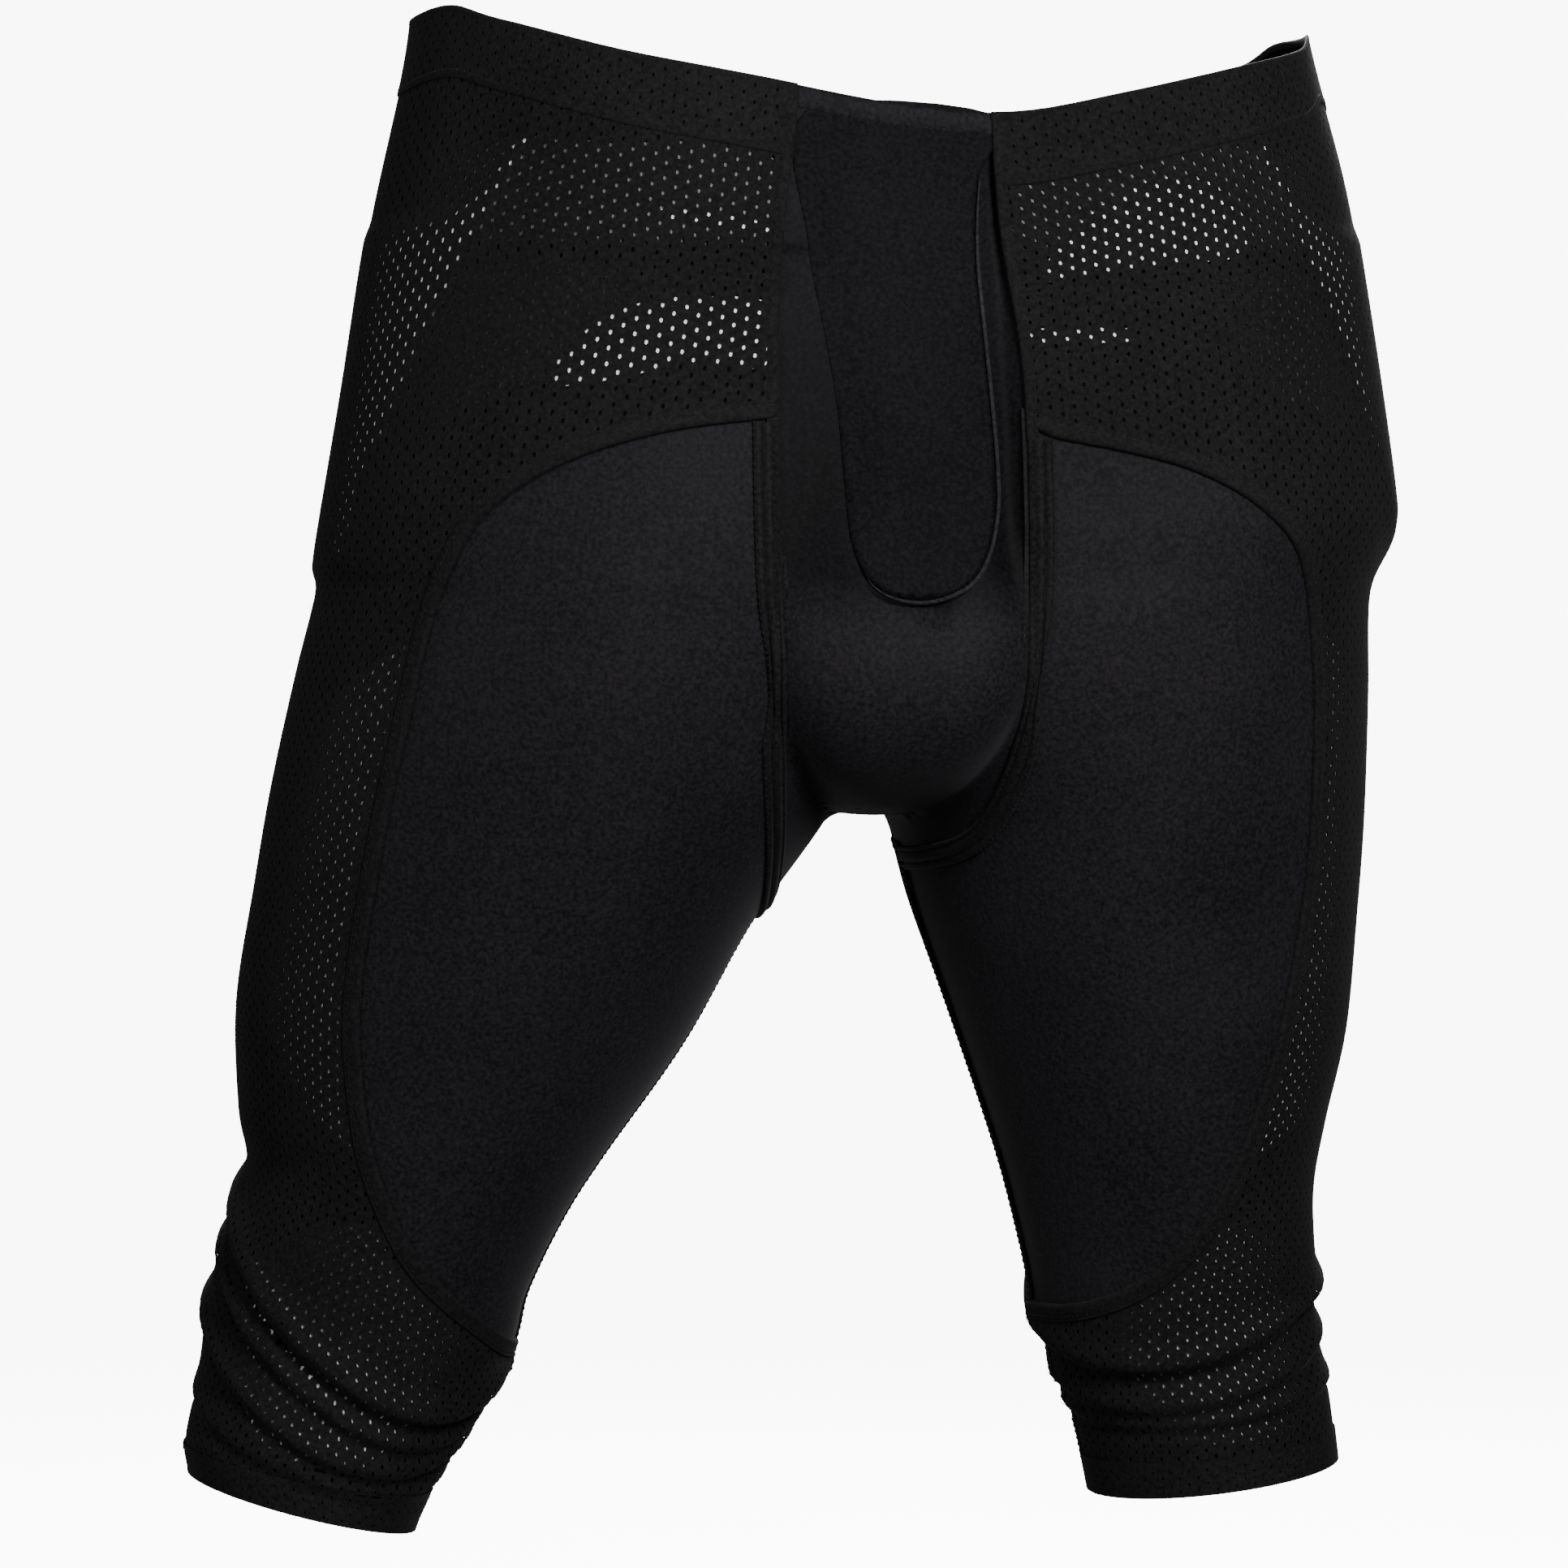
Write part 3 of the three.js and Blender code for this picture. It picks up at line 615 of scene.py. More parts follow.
def make_piece(name, shape, material, replaced=(), sharp=50):
    """A Blender object in metres that rides on the one body."""
    points, groups = shape
    groups = [group for group in groups if len(group)]
    used = np.unique(np.concatenate([group.ravel() for group in groups]))
    renumber = np.zeros(len(points), int)
    renumber[used] = np.arange(len(used))
    mesh = bpy.data.meshes.new(name)
    mesh.vertices.add(len(used))
    mesh.vertices.foreach_set("co", (points[used] * METRE).astype(np.float32).ravel())
    corners = np.concatenate([renumber[group].ravel() for group in groups])
    sizes = np.concatenate([np.full(len(group), group.shape[1]) for group in groups])
    mesh.loops.add(len(corners))
    mesh.loops.foreach_set("vertex_index", corners.astype(np.int32))
    mesh.polygons.add(len(sizes))
    mesh.polygons.foreach_set("loop_start", np.concatenate([[0], np.cumsum(sizes)[:-1]]).astype(np.int32))
    mesh.update(calc_edges=True)
    mesh.validate()
    mesh.polygons.foreach_set("use_smooth", np.ones(len(mesh.polygons), bool))
    mesh.set_sharp_from_angle(angle=math.radians(sharp))
    mesh.materials.append(material)
    piece = bpy.data.objects.new(name, mesh)
    bpy.context.scene.collection.objects.link(piece)
    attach(piece, "root")
    if replaced:
        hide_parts(*replaced)
    return piece


# Shares of a grid step: points this near to a zone's edge move onto it, and points beyond it are left out
NEAR_INSIDE, NEAR_OUTSIDE, KEPT = 0.35, 0.75, 0.12


def snapped(chart, across, down, zone, cell):
    """Grid places moved onto the zone's edge where they lie near it, and which of them are kept."""
    for _ in range(2):
        distance = zone(chart.at(across, down)[0], across, down)
        slope_a = (zone(chart.at(across + 0.5, down)[0], across + 0.5, down) - distance) / 0.5
        slope_d = (zone(chart.at(across, down + 0.5)[0], across, down + 0.5) - distance) / 0.5
        size = np.maximum(slope_a**2 + slope_d**2, 0.25)
        near = (distance > -NEAR_INSIDE * cell) & (distance < NEAR_OUTSIDE * cell)
        across = np.where(near, across - distance * slope_a / size, across)
        down = np.where(near, down - distance * slope_d / size, down)
    distance = zone(chart.at(across, down)[0], across, down)
    return across, down, distance, distance < KEPT * cell


def grid_faces(kept):
    """Quads of a grid, and triangles where one corner of a quad is left out."""
    rows, columns = kept.shape
    index = np.arange(rows * columns).reshape(rows, columns)
    corners = np.stack([index[:-1, :-1], index[:-1, 1:], index[1:, 1:], index[1:, :-1]], -1).reshape(-1, 4)
    held = kept.ravel()[corners]
    quads = corners[held.all(1)]
    three = held.sum(1) == 3
    triangles = corners[three][held[three]].reshape(-1, 3)
    return [quads, triangles]


def cloth(chart, across, down, zone, height=0.0, thickness=CLOTH, cell=CELL, edge=None):
    """A smooth cloth over the zone. edge(distance) may add (outer, inner) heights by place."""
    across, down = np.meshgrid(across, down)
    across, down, distance, kept = snapped(chart, across, down, zone, cell)
    points, normal = chart.at(across, down)
    lift = relief(points) + (height(points) if callable(height) else height)
    extra_out, extra_in = edge(-distance) if edge else (0.0, 0.0)
    outer = (lift + extra_out).ravel()
    inner = (lift - thickness + extra_in).ravel()
    return thickened(points.reshape(-1, 3), normal.reshape(-1, 3), grid_faces(kept), outer, inner)


def netted(low, high, step):
    """A net of quads over the worn form inside a box, settled and evened out."""
    axes = [np.arange(a, b + step, step) for a, b in zip(low, high)]
    grid = np.stack(np.meshgrid(*axes, indexing="ij"), -1)
    inside = body_field(grid) < 0
    corners = sum(
        inside[i:len(axes[0]) - 1 + i, j:len(axes[1]) - 1 + j, k:len(axes[2]) - 1 + k].astype(int)
        for i in (0, 1) for j in (0, 1) for k in (0, 1)
    )
    active = (corners > 0) & (corners < 8)
    number = np.full(active.shape, -1)
    number[active] = np.arange(active.sum())
    quads = []
    for axis in range(3):
        turned = np.moveaxis(inside, axis, 0)
        cells = np.moveaxis(number, axis, 0)
        i, j, k = np.nonzero(turned[:-1, 1:-1, 1:-1] != turned[1:, 1:-1, 1:-1])
        corners = cells[i, j, k], cells[i, j + 1, k], cells[i, j + 1, k + 1], cells[i, j, k + 1]
        quads.append(np.stack(corners, -1))
    quads = np.vstack(quads)
    points = settle(grid[:-1, :-1, :-1][active] + step / 2, 4)
    for _ in range(3):
        total, times = np.zeros(points.shape), np.zeros(len(points))
        for k in range(4):
            for other in (k - 1, (k + 1) % 4):
                np.add.at(total, quads[:, k], points[quads[:, other]])
                np.add.at(times, quads[:, k], 1)
        points = settle(0.4 * points + 0.6 * total / np.maximum(times, 1)[:, None], 2)
    return points, quads


def netted_cloth(low, high, step, zone, height, thickness=CLOTH):
    """A smooth cloth over a zone of points, cut from a net."""
    points, quads = netted(low, high, step)
    for _ in range(3):
        distance = zone(points)
        slope = gradient(zone, points, 0.3)
        normal = normals(points)
        slope = slope - normal * dot(slope, normal)
        near = (distance > -NEAR_INSIDE * step) & (distance < NEAR_OUTSIDE * step)
        move = slope * distance[:, None] / np.maximum(dot(slope, slope), 0.2)
        points = settle(np.where(near[:, None], points - move, points), 2)
    kept = zone(points) < KEPT * step
    held = kept[quads]
    three = held.sum(1) == 3
    groups = [quads[held.all(1)], quads[three][held[three]].reshape(-1, 3)]
    lift = relief(points) + channel(points) + height
    return thickened(points, normals(points), groups, lift, lift - thickness)


# The perforated mesh: columns of holes, each half a pitch below the next

COLUMN_TABLE = [(0, 3.85), (0.12, 4.05), (0.33, 4.2), (0.5, 3.9), (0.75, 3.4), (1, 3.3)]
PITCH_TABLE = [(0, 5.9), (0.3, 6.0), (0.5, 5.5), (0.75, 4.7), (1, 4.6)]


def column_width(down):
    return np.interp(down / LENGTH, *np.array(COLUMN_TABLE).T)


def hole_rows(low, high):
    """Places of the half rows of holes down a leg."""
    places = [low]
    while places[-1] < high:
        places.append(places[-1] + np.interp(places[-1] / LENGTH, *np.array(PITCH_TABLE).T) / 2)
    return np.array(places)


# Faces of a holed cell, by the hole's sides.
# Corners 0 to 5 are the cell's from its left top, the rest the hole's.
HOLE_FACES = {
    6: [
        (2, 6, 11), (2, 3, 7, 6), (3, 4, 7), (4, 5, 8, 7), (5, 9, 8), (5, 0, 10, 9), (0, 1, 10),
        (1, 2, 11, 10),
    ],
    4: [(2, 3, 7, 6), (3, 4, 7), (4, 5, 8, 7), (5, 0, 9, 8), (0, 1, 9), (1, 2, 6, 9)],
}


def perforated(chart, zone, low, high, reach, height=0.0, thickness=CLOTH, size=1.0, shift=0, sides=4):
    """Cloth over the zone with a hole in each whole cell."""
    rows = hole_rows(low, high)
    columns = np.arange(reach[0], reach[1] + 1)
    width = column_width(rows)[:, None]
    down = np.repeat(rows[:, None], len(columns), 1)
    across = (columns[None, :] - 0.5) * width
    across, down, _, kept = snapped(chart, across, down, zone, HOLE_CELL)
    index = np.arange(across.size).reshape(across.shape)
    top, column = np.meshgrid(np.arange(len(rows) - 2), np.arange(len(columns) - 1), indexing="ij")
    own = ((top + columns[column] + shift) % 2) == 0
    top, column = top[own], column[own]
    corner_rows = [top, top, top + 1, top + 2, top + 2, top + 1]
    corner_columns = [column, column + 1, column + 1, column + 1, column, column]
    cells = np.stack([index[r, c] for r, c in zip(corner_rows, corner_columns)], -1)
    held = kept.ravel()[cells]
    middle_a = columns[column] * width[top + 1, 0]
    middle_d = rows[top + 1]
    deep = zone(chart.at(middle_a, middle_d)[0], middle_a, middle_d) < -HOLE_MARGIN
    holed = held.all(1) & deep
    # Hole rings, clockwise from the right as the corners are
    angle = (np.arange(sides) + (0.5 if sides == 6 else 0)) * 2 * math.pi / sides
    hole_width = 0.16 * size * width[top[holed] + 1]
    hole_height = 0.35 * size * (rows[top[holed] + 2] - rows[top[holed] + 1])[:, None]
    ring_a = middle_a[holed][:, None] + hole_width * np.cos(angle)
    ring_d = middle_d[holed][:, None] + hole_height * np.sin(angle)
    ring = across.size + np.arange(ring_a.size).reshape(ring_a.shape)
    around = np.hstack([cells[holed], ring])
    groups = [around[:, list(face)] for face in HOLE_FACES[sides]]
    groups.append(cells[held.all(1) & ~deep])
    partial = ~held.all(1) & (held.sum(1) >= 3)
    groups += as_groups([face[own_held] for face, own_held in zip(cells[partial], held[partial])])
    all_a = np.concatenate([across.ravel(), ring_a.ravel()])
    all_d = np.concatenate([down.ravel(), ring_d.ravel()])
    points, normal = chart.at(all_a, all_d)
    lift = relief(points) + height
    return thickened(points, normal, groups, lift, lift - thickness)


# Seams: where a zone's edge meets the worn form

def seam(zone, start, way, stop, step=2.0, most=600):
    """Follows a zone's edge over the worn form: its points, and the way out of the zone at each."""
    point = np.array(start, float)
    way = np.array(way, float)
    points, sides = [], []
    for _ in range(most):
        for _ in range(2 if points else 8):
            pair = point[None]
            rise, edge = body_field(pair)[0], zone(pair)[0]
            up, out = gradient(body_field, pair)[0], gradient(zone, pair, 0.3)[0]
            matrix = np.array([[up @ up, up @ out], [up @ out, out @ out]]) + 1e-6 * np.eye(2)
            share = np.linalg.solve(matrix, [rise, edge])
            point = point - share[0] * up - share[1] * out
        normal = unit(up)
        side = unit(out - normal * (out @ normal))
        points.append(point)
        sides.append(side)
        if len(points) > 3 and stop(point):
            break
        along = np.cross(normal, side)
        along = along if along @ way > 0 else -along
        way = along
        point = point + step * along
    return np.array(points), np.array(sides)


def evened(points, sides, step):
    """A seam with its points a step apart."""
    arc = np.concatenate([[0], np.cumsum(np.linalg.norm(np.diff(points, axis=0), axis=1))])
    places = np.linspace(0, arc[-1], max(int(arc[-1] / step), 3))
    place, side = (
        np.stack([np.interp(places, arc, row[:, k]) for k in range(3)], -1) for row in (points, sides)
    )
    return place, unit(side)


def swept(seam_points, sides, profile, closed=False):
    """A band along a seam. The profile holds closed rows of (side, height) in millimetres."""
    profile = np.array(profile, float)
    count = len(seam_points)
    ground = settle(seam_points[:, None] + sides[:, None] * profile[None, :, :1], 2)
    points = dress(ground, profile[None, :, 1])
    ring = np.arange(count * len(profile)).reshape(count, len(profile))
    after = np.roll(ring, -1, axis=0) if closed else ring[1:]
    before = ring if closed else ring[:-1]
    quads = ring_quads(before, after)
    groups = [quads]
    if not closed:
        groups += [ring[:1, ::-1], ring[-1:]]
    flat = points.reshape(-1, 3)
    # Faces look away from the band's own middle
    middle = points.mean(axis=1)
    a, b, c = (flat[quads[:, k]] for k in (0, 1, 2))
    centre = np.repeat(middle[: len(before)], len(profile), axis=0)
    facing = np.sum(np.cross(b - a, c - a) * (a - centre), axis=1)
    if facing.sum() < 0:
        groups = [group[:, ::-1] for group in groups]
    return flat, groups


def stitches(seam_points, sides, side, height, pitch=2.3, length=1.5, width=0.32):
    """A row of short raised threads along a seam."""
    points, out = evened(seam_points, sides, pitch)
    ground = settle(points + side * out, 2)
    normal = normals(ground)
    place = ground + normal * (relief(ground) + height)[:, None]
    along = unit(np.gradient(place, axis=0))
    across = np.cross(normal, along)
    shape = [(-0.5, 0, 0), (-0.3, 1, 0), (0.3, 1, 0), (0.5, 0, 0), (0.3, -1, 0), (-0.3, -1, 0),
             (-0.28, 0, 1), (0.28, 0, 1)]
    faces4 = [(1, 2, 7, 6), (4, 5, 6, 7), (0, 5, 4, 3), (0, 3, 2, 1)]
    faces3 = [(0, 1, 6), (5, 0, 6), (2, 3, 7), (3, 4, 7)]
    template = np.array(shape, float) * (length, width, 0.28)
    body = (
        place[:, None]
        + along[:, None] * template[None, :, :1]
        + across[:, None] * template[None, :, 1:2]
        + normal[:, None] * template[None, :, 2:]
    )
    starts = (np.arange(len(place)) * len(shape))[:, None, None]
    groups = [(np.array(faces)[None] + starts).reshape(-1, len(faces[0])) for faces in (faces4, faces3)]
    return body.reshape(-1, 3), groups


# Materials

def set_inputs(node, **values):
    for name, value in values.items():
        node.inputs[name.replace("_", " ")].default_value = value


def new_material(name):
    material = bpy.data.materials.new(name)
    material.use_nodes = True
    nodes, links = material.node_tree.nodes, material.node_tree.links
    nodes.clear()
    output = nodes.new("ShaderNodeOutputMaterial")
    shader = nodes.new("ShaderNodeBsdfPrincipled")
    links.new(shader.outputs["BSDF"], output.inputs["Surface"])
    place = nodes.new("ShaderNodeTexCoord")
    return material, nodes, links, shader, place.outputs["Object"]


def noise(nodes, links, place, scale, detail):
    texture = nodes.new("ShaderNodeTexNoise")
    set_inputs(texture, Scale=scale, Detail=detail)
    links.new(place, texture.inputs["Vector"])
    return texture.outputs["Fac"]


def ramp(nodes, links, factor, stops):
    node = nodes.new("ShaderNodeValToRGB")
    while len(node.color_ramp.elements) < len(stops):
        node.color_ramp.elements.new(0.5)
    for element, (place, colour) in zip(node.color_ramp.elements, stops):
        element.position = place
        element.color = (*colour, 1)
    links.new(factor, node.inputs["Fac"])
    return node.outputs["Color"]


def grey(value, warmth=0.0):
    return (value * (1 + warmth), value, value * (1 + 0.5 * abs(warmth)))


def fabric(name, dark, light, roughness, sheen, knit=1300.0, relief_height=0.00008, tint=(1, 1, 1)):
    """A knit: fine loops in relief, lighter stray fibres and slow changes of shade."""
    material, nodes, links, shader, place = new_material(name)
    fibres = noise(nodes, links, place, 700, 3)
    slow = noise(nodes, links, place, 14, 2)
    mixed = nodes.new("ShaderNodeMath")
    mixed.operation = "MULTIPLY_ADD"
    mixed.inputs[1].default_value = 0.75
    links.new(fibres, mixed.inputs[0])
    quarter = nodes.new("ShaderNodeMath")
    quarter.operation = "MULTIPLY"
    quarter.inputs[1].default_value = 0.25
    links.new(slow, quarter.inputs[0])
    links.new(quarter.outputs["Value"], mixed.inputs[2])
    middle = tuple((a + b) / 2 for a, b in zip(dark, light))
    stops = [(0.36, dark), (0.55, middle), (0.72, light)]
    links.new(ramp(nodes, links, mixed.outputs["Value"], stops), shader.inputs["Base Color"])
    gloss = nodes.new("ShaderNodeMapRange")
    set_inputs(gloss, To_Min=roughness - 0.07, To_Max=roughness + 0.07)
    links.new(fibres, gloss.inputs["Value"])
    links.new(gloss.outputs["Result"], shader.inputs["Roughness"])
    shader.inputs["Sheen Weight"].default_value = sheen
    shader.inputs["Sheen Roughness"].default_value = 0.45
    shader.inputs["Sheen Tint"].default_value = (*tint, 1)
    shader.inputs["Specular IOR Level"].default_value = 0.02
    loops = nodes.new("ShaderNodeTexVoronoi")
    set_inputs(loops, Scale=knit)
    links.new(place, loops.inputs["Vector"])
    bump = nodes.new("ShaderNodeBump")
    set_inputs(bump, Strength=0.6, Distance=relief_height)
    links.new(loops.outputs["Distance"], bump.inputs["Height"])
    links.new(bump.outputs["Normal"], shader.inputs["Normal"])
    return material


def foam(name, colour):
    material, nodes, links, shader, place = new_material(name)
    cells = noise(nodes, links, place, 900, 2)
    low = tuple(0.86 * value for value in colour)
    links.new(ramp(nodes, links, cells, [(0.3, low), (0.7, colour)]), shader.inputs["Base Color"])
    shader.inputs["Roughness"].default_value = 0.9
    bump = nodes.new("ShaderNodeBump")
    set_inputs(bump, Strength=0.4, Distance=0.0001)
    links.new(cells, bump.inputs["Height"])
    links.new(bump.outputs["Normal"], shader.inputs["Normal"])
    return material


# Near-black painted shade: stands for the dark hollow inside seen through the holes, and colours the inner
# folds of band and cuffs.
INSIDE_SHADE_CLOTH = fabric("inside_painted_shade", grey(0.0005), grey(0.0012), 0.9, 0, 1500)
MESH_CLOTH = fabric("perforated_mesh_cloth", grey(0.0022), grey(0.006, 0.05), 0.85, 0.01, 1500)
VIOLET = (0.95, 0.93, 1)
SMOOTH_CLOTH = fabric(
    "smooth_knit_cloth", (0.002, 0.0018, 0.0022), (0.0078, 0.007, 0.0085), 0.6, 0.02, 1700, 0.00005, VIOLET,
)
# A darker copy of the smooth knit: painted shade over the fly tongue.
TONGUE_CLOTH = fabric(
    "tongue_cloth", (0.0009, 0.0008, 0.001), (0.0046, 0.0041, 0.005), 0.7, 0.003, 1700, 0.00005, VIOLET,
)
# A lighter copy of the smooth knit: a painted highlight along the tongue's rolled lip.
LIP_HIGHLIGHT_CLOTH = fabric(
    "lip_painted_highlight", (0.004, 0.0037, 0.0043), (0.014, 0.013, 0.015), 0.7, 0.02, 2500, 0.00004, VIOLET,
)


def painted_shade_by_height(name, stops):
    """The smooth knit, darker between heights: painted shade on the panel beside the tongue."""
    material = SMOOTH_CLOTH.copy()
    material.name = name
    nodes, links = material.node_tree.nodes, material.node_tree.links
    shader = next(node for node in nodes if node.type == "BSDF_PRINCIPLED")
    colour = shader.inputs["Base Color"].links[0].from_socket
    place = next(node for node in nodes if node.type == "TEX_COORD").outputs["Object"]
    axes = nodes.new("ShaderNodeSeparateXYZ")
    links.new(place, axes.inputs["Vector"])
    share = nodes.new("ShaderNodeMapRange")
    set_inputs(share, From_Min=-0.25, From_Max=0.0)
    links.new(axes.outputs["Z"], share.inputs["Value"])
    shade = ramp(nodes, links, share.outputs["Result"], [(1 + z / 250, (dark,) * 3) for z, dark in stops])
    blend = nodes.new("ShaderNodeVectorMath")
    blend.operation = "MULTIPLY"
    links.new(colour, blend.inputs[0])
    links.new(shade, blend.inputs[1])
    links.new(blend.outputs["Vector"], shader.inputs["Base Color"])
    return material


# Painted shade: the front panel darkened above the pouch, beside the tongue, most just above the pouch.
PANEL_CLOTH = painted_shade_by_height("front_panel_cloth", [(-206, 1), (-188, 0.4), (-135, 0.5), (-75, 0.65), (-45, 0.9)])
FOLDED_CLOTH = fabric("folded_mesh_cloth", grey(0.0022), grey(0.0062, 0.05), 0.8, 0.01, 1500)
BINDING = fabric("seam_binding_cloth", grey(0.0018), grey(0.0062, 0.03), 0.6, 0.015, 1900)
THREAD = fabric("thread", grey(0.003), grey(0.009), 0.5, 0.02, 4000)
PALE_FOAM = foam("pale_foam", (0.42, 0.42, 0.415))
GREY_FOAM = foam("grey_foam", (0.22, 0.22, 0.22))
DARK_FOAM = foam("dark_foam", (0.06, 0.06, 0.062))


# Pieces

def inseam(leg, points, across, down):
    """Beyond the inseam, on the inner side of a leg, or past the chart's own part."""
    inner = leg.coordinates(points)[1] > 0
    y = points[..., 1] - INSEAM_SETBACK
    beyond = np.where(inner, np.where(across < 0, y, -y), -50.0)
    return np.maximum(beyond, past_limits(leg, across, down))


def mesh_zone(leg):
    def zone(points, across, down):
        return np.maximum.reduce([
            -leg.side * points[..., 0],
            BAND_HEIGHT - TUCK - down,
            down - (leg.hem - CUFF_HEIGHT + TUCK),
            -panel_zone(points),
            -thigh_zone(points, leg.side),
            inseam(leg, points, across, down),
        ])
    return zone


def band_zone(leg):
    def zone(points, across, down):
        return np.maximum.reduce([
            -leg.side * points[..., 0],
            ROLL_DEPTH - down,
            down - BAND_HEIGHT,
            -panel_zone(points),
            past_limits(leg, across, down),
        ])
    return zone


def cuff_zone(leg):
    def zone(points, across, down):
        return np.maximum.reduce([
            leg.hem - CUFF_HEIGHT - down, down - (leg.hem - ROLL_DEPTH), inseam(leg, points, across, down),
        ])
    return zone


def thigh_cloth_zone(leg):
    def zone(points, across, down):
        return np.maximum.reduce([
            across + 5,
            thigh_zone(points, leg.side) - TUCK,
            -panel_zone(points) - TUCK,
            inseam(leg, points, across, down),
        ])
    return zone


def panel_cloth_zone(points):
    front = points[..., 1] - np.where(points[..., 2] > -200, -30, GUSSET_END + TUCK)
    edge = polygon_distance(points, PANEL_LOOP) - TUCK
    return np.maximum.reduce([edge, front, ROLL_DEPTH - (waist_height(points) - points[..., 2])])


def rounded(distance, radius):
    share = np.clip(distance / radius, 0, 1)
    return np.sqrt(1 - (1 - share) ** 2)


def pad_edge(thickness, radius=7.0, drop=1.6):
    """A pad's faces draw together towards its edge."""
    def edge(distance):
        body = rounded(distance, radius)
        return -drop * (1 - body), thickness * (1 - body)
    return edge


def front_zone(loops, behind):
    """Inside any of these outlines as the front shows them, down to a depth."""
    def zone(points, across, down):
        nearest = np.minimum.reduce([polygon_distance(points, loop) for loop in loops])
        past = points[..., 1] - behind
        corner = np.hypot(np.maximum(nearest + PAD_CORNER, 0), np.maximum(past + PAD_CORNER, 0)) - PAD_CORNER
        return np.where(past > -PAD_CORNER, np.maximum(corner, nearest), nearest)
    return zone


def on_leg(leg, points):
    """Points laid out as share across the leg (1 at the outer side) and distance down it."""
    place, across, _ = leg.coordinates(points)
    return np.stack([-across * ACROSS_UNIT, points[..., 1], -leg.at(leg.down, place)], -1)


def leg_pad_zone(leg, rows):
    loop = outline(rows) / (HALF_WIDTH, 1) * (ACROSS_UNIT, 1)

    def zone(points, across, down):
        return np.maximum(polygon_distance(on_leg(leg, points), loop), points[..., 1])
    return zone


def lobe_zone(side):
    outlines = front_zone([HIP_LOOPS[side], *FRONT_LOOPS[side]], PAD_BACK_EDGE)
    return lambda points, across, down: np.maximum(outlines(points, across, down), 1 - panel_zone(points))


def shade_sheet_zone(leg):
    """The near-black sheet of painted shade under the mesh, wherever no pad lies behind it."""
    web = front_zone([outline(HIP_WEB, leg.side)], 0)

    def zone(points, across, down):
        hip = np.minimum(lobe_zone(leg.side)(points, across, down), web(points, across, down))
        thigh = leg_pad_zone(leg, THIGH_PAD)(points, across, down)
        knee = leg_pad_zone(leg, KNEE_SHOWN[leg.side])(points, across, down)
        mesh = mesh_zone(leg)(points, across, down)
        return np.maximum.reduce([mesh, -hip - 0.5, -thigh - PAD_TUCK, -knee - PAD_TUCK])
    return zone


SIDE_NAMES = {-1: "right", 1: "left"}


def spread(step):
    return np.arange(-CHART_REACH + 2, CHART_REACH - 1, step)


WIDE = spread(CELL)


def inside_height(points):
    """Just under the mesh, and deeper where the mesh is folded."""
    return -NET - 0.15 - 1.0 * slack(points)


for side, leg in LEGS.items():
    chart, name = CHARTS[side], SIDE_NAMES[side]
    zone = mesh_zone(leg)
    low = BAND_HEIGHT - 8
    for part, reach, hole_sides in (("front", (-90, 1), 6), ("back", (1, 91), 4)):
        shape = perforated(chart, zone, low, leg.hem, reach, thickness=NET, sides=hole_sides)
        make_piece(f"mesh_{name}_{part}", shape, MESH_CLOTH, [f"mesh_{name}"])
    # A near-black sheet of painted shade under the mesh stands in for the dark hollow inside and hides the
    # backdrop through the holes.
    inside_down = np.arange(BAND_HEIGHT - 4, leg.hem, INSIDE_CELL)
    shape = cloth(chart, spread(INSIDE_CELL), inside_down, shade_sheet_zone(leg), inside_height, 0.35, INSIDE_CELL)
    make_piece(f"mesh_{name}_inside", shape, INSIDE_SHADE_CLOTH, [f"mesh_{name}"])

    thigh_down = np.arange(0.24 * LENGTH, 0.9 * LENGTH, CELL)
    thigh = cloth(chart, WIDE[WIDE < 0], thigh_down, thigh_cloth_zone(leg), -SMOOTH_DEPTH)
    make_piece(f"thigh_panel_{name}_cloth", thigh, SMOOTH_CLOTH, [f"thigh_panel_{name}"])

    cuff_down = np.arange(leg.hem - CUFF_HEIGHT - 3, leg.hem + 3, CELL)
    cuff_top = leg.hem - CUFF_HEIGHT
    outer = perforated(chart, cuff_zone(leg), cuff_top - 6, leg.hem + 4, (-90, 91), 0.6, NET, 0.8, 1)
    inner = cloth(chart, WIDE, cuff_down, cuff_zone(leg), 0.15, 0.8)
    make_piece(f"cuff_{name}_cloth", outer, FOLDED_CLOTH, [f"cuff_{name}"])
    # The cuff's real inner fold, made near-black as painted shade.
    make_piece(f"cuff_{name}_inside", inner, INSIDE_SHADE_CLOTH, [f"cuff_{name}"])

band_parts, band_inside = [], []
for side, leg in LEGS.items():
    chart = CHARTS[side]
    band_parts.append(perforated(chart, band_zone(leg), -6, BAND_HEIGHT + 8, (-90, 91), 0.45, NET, 0.9, 1))
    band_inside.append(cloth(chart, WIDE, np.arange(-4, BAND_HEIGHT + 4, CELL), band_zone(leg), 0.05, 0.7))
make_piece("waistband_cloth", joined(band_parts), FOLDED_CLOTH, ["waistband"])
# The band's real inner fold, made near-black as painted shade.
make_piece("waistband_inside", joined(band_inside), INSIDE_SHADE_CLOTH, ["waistband"])

panel = netted_cloth((-56, -140, -326), (56, GUSSET_END + 10, 4), CELL, panel_cloth_zone, -SMOOTH_DEPTH)
make_piece("front_panel_cloth", panel, PANEL_CLOTH, ["front_panel"])


# Bands, welts, rolled edges and seams, as rows of (side, height) in millimetres.
# Side grows away from the zone that the seam runs round.

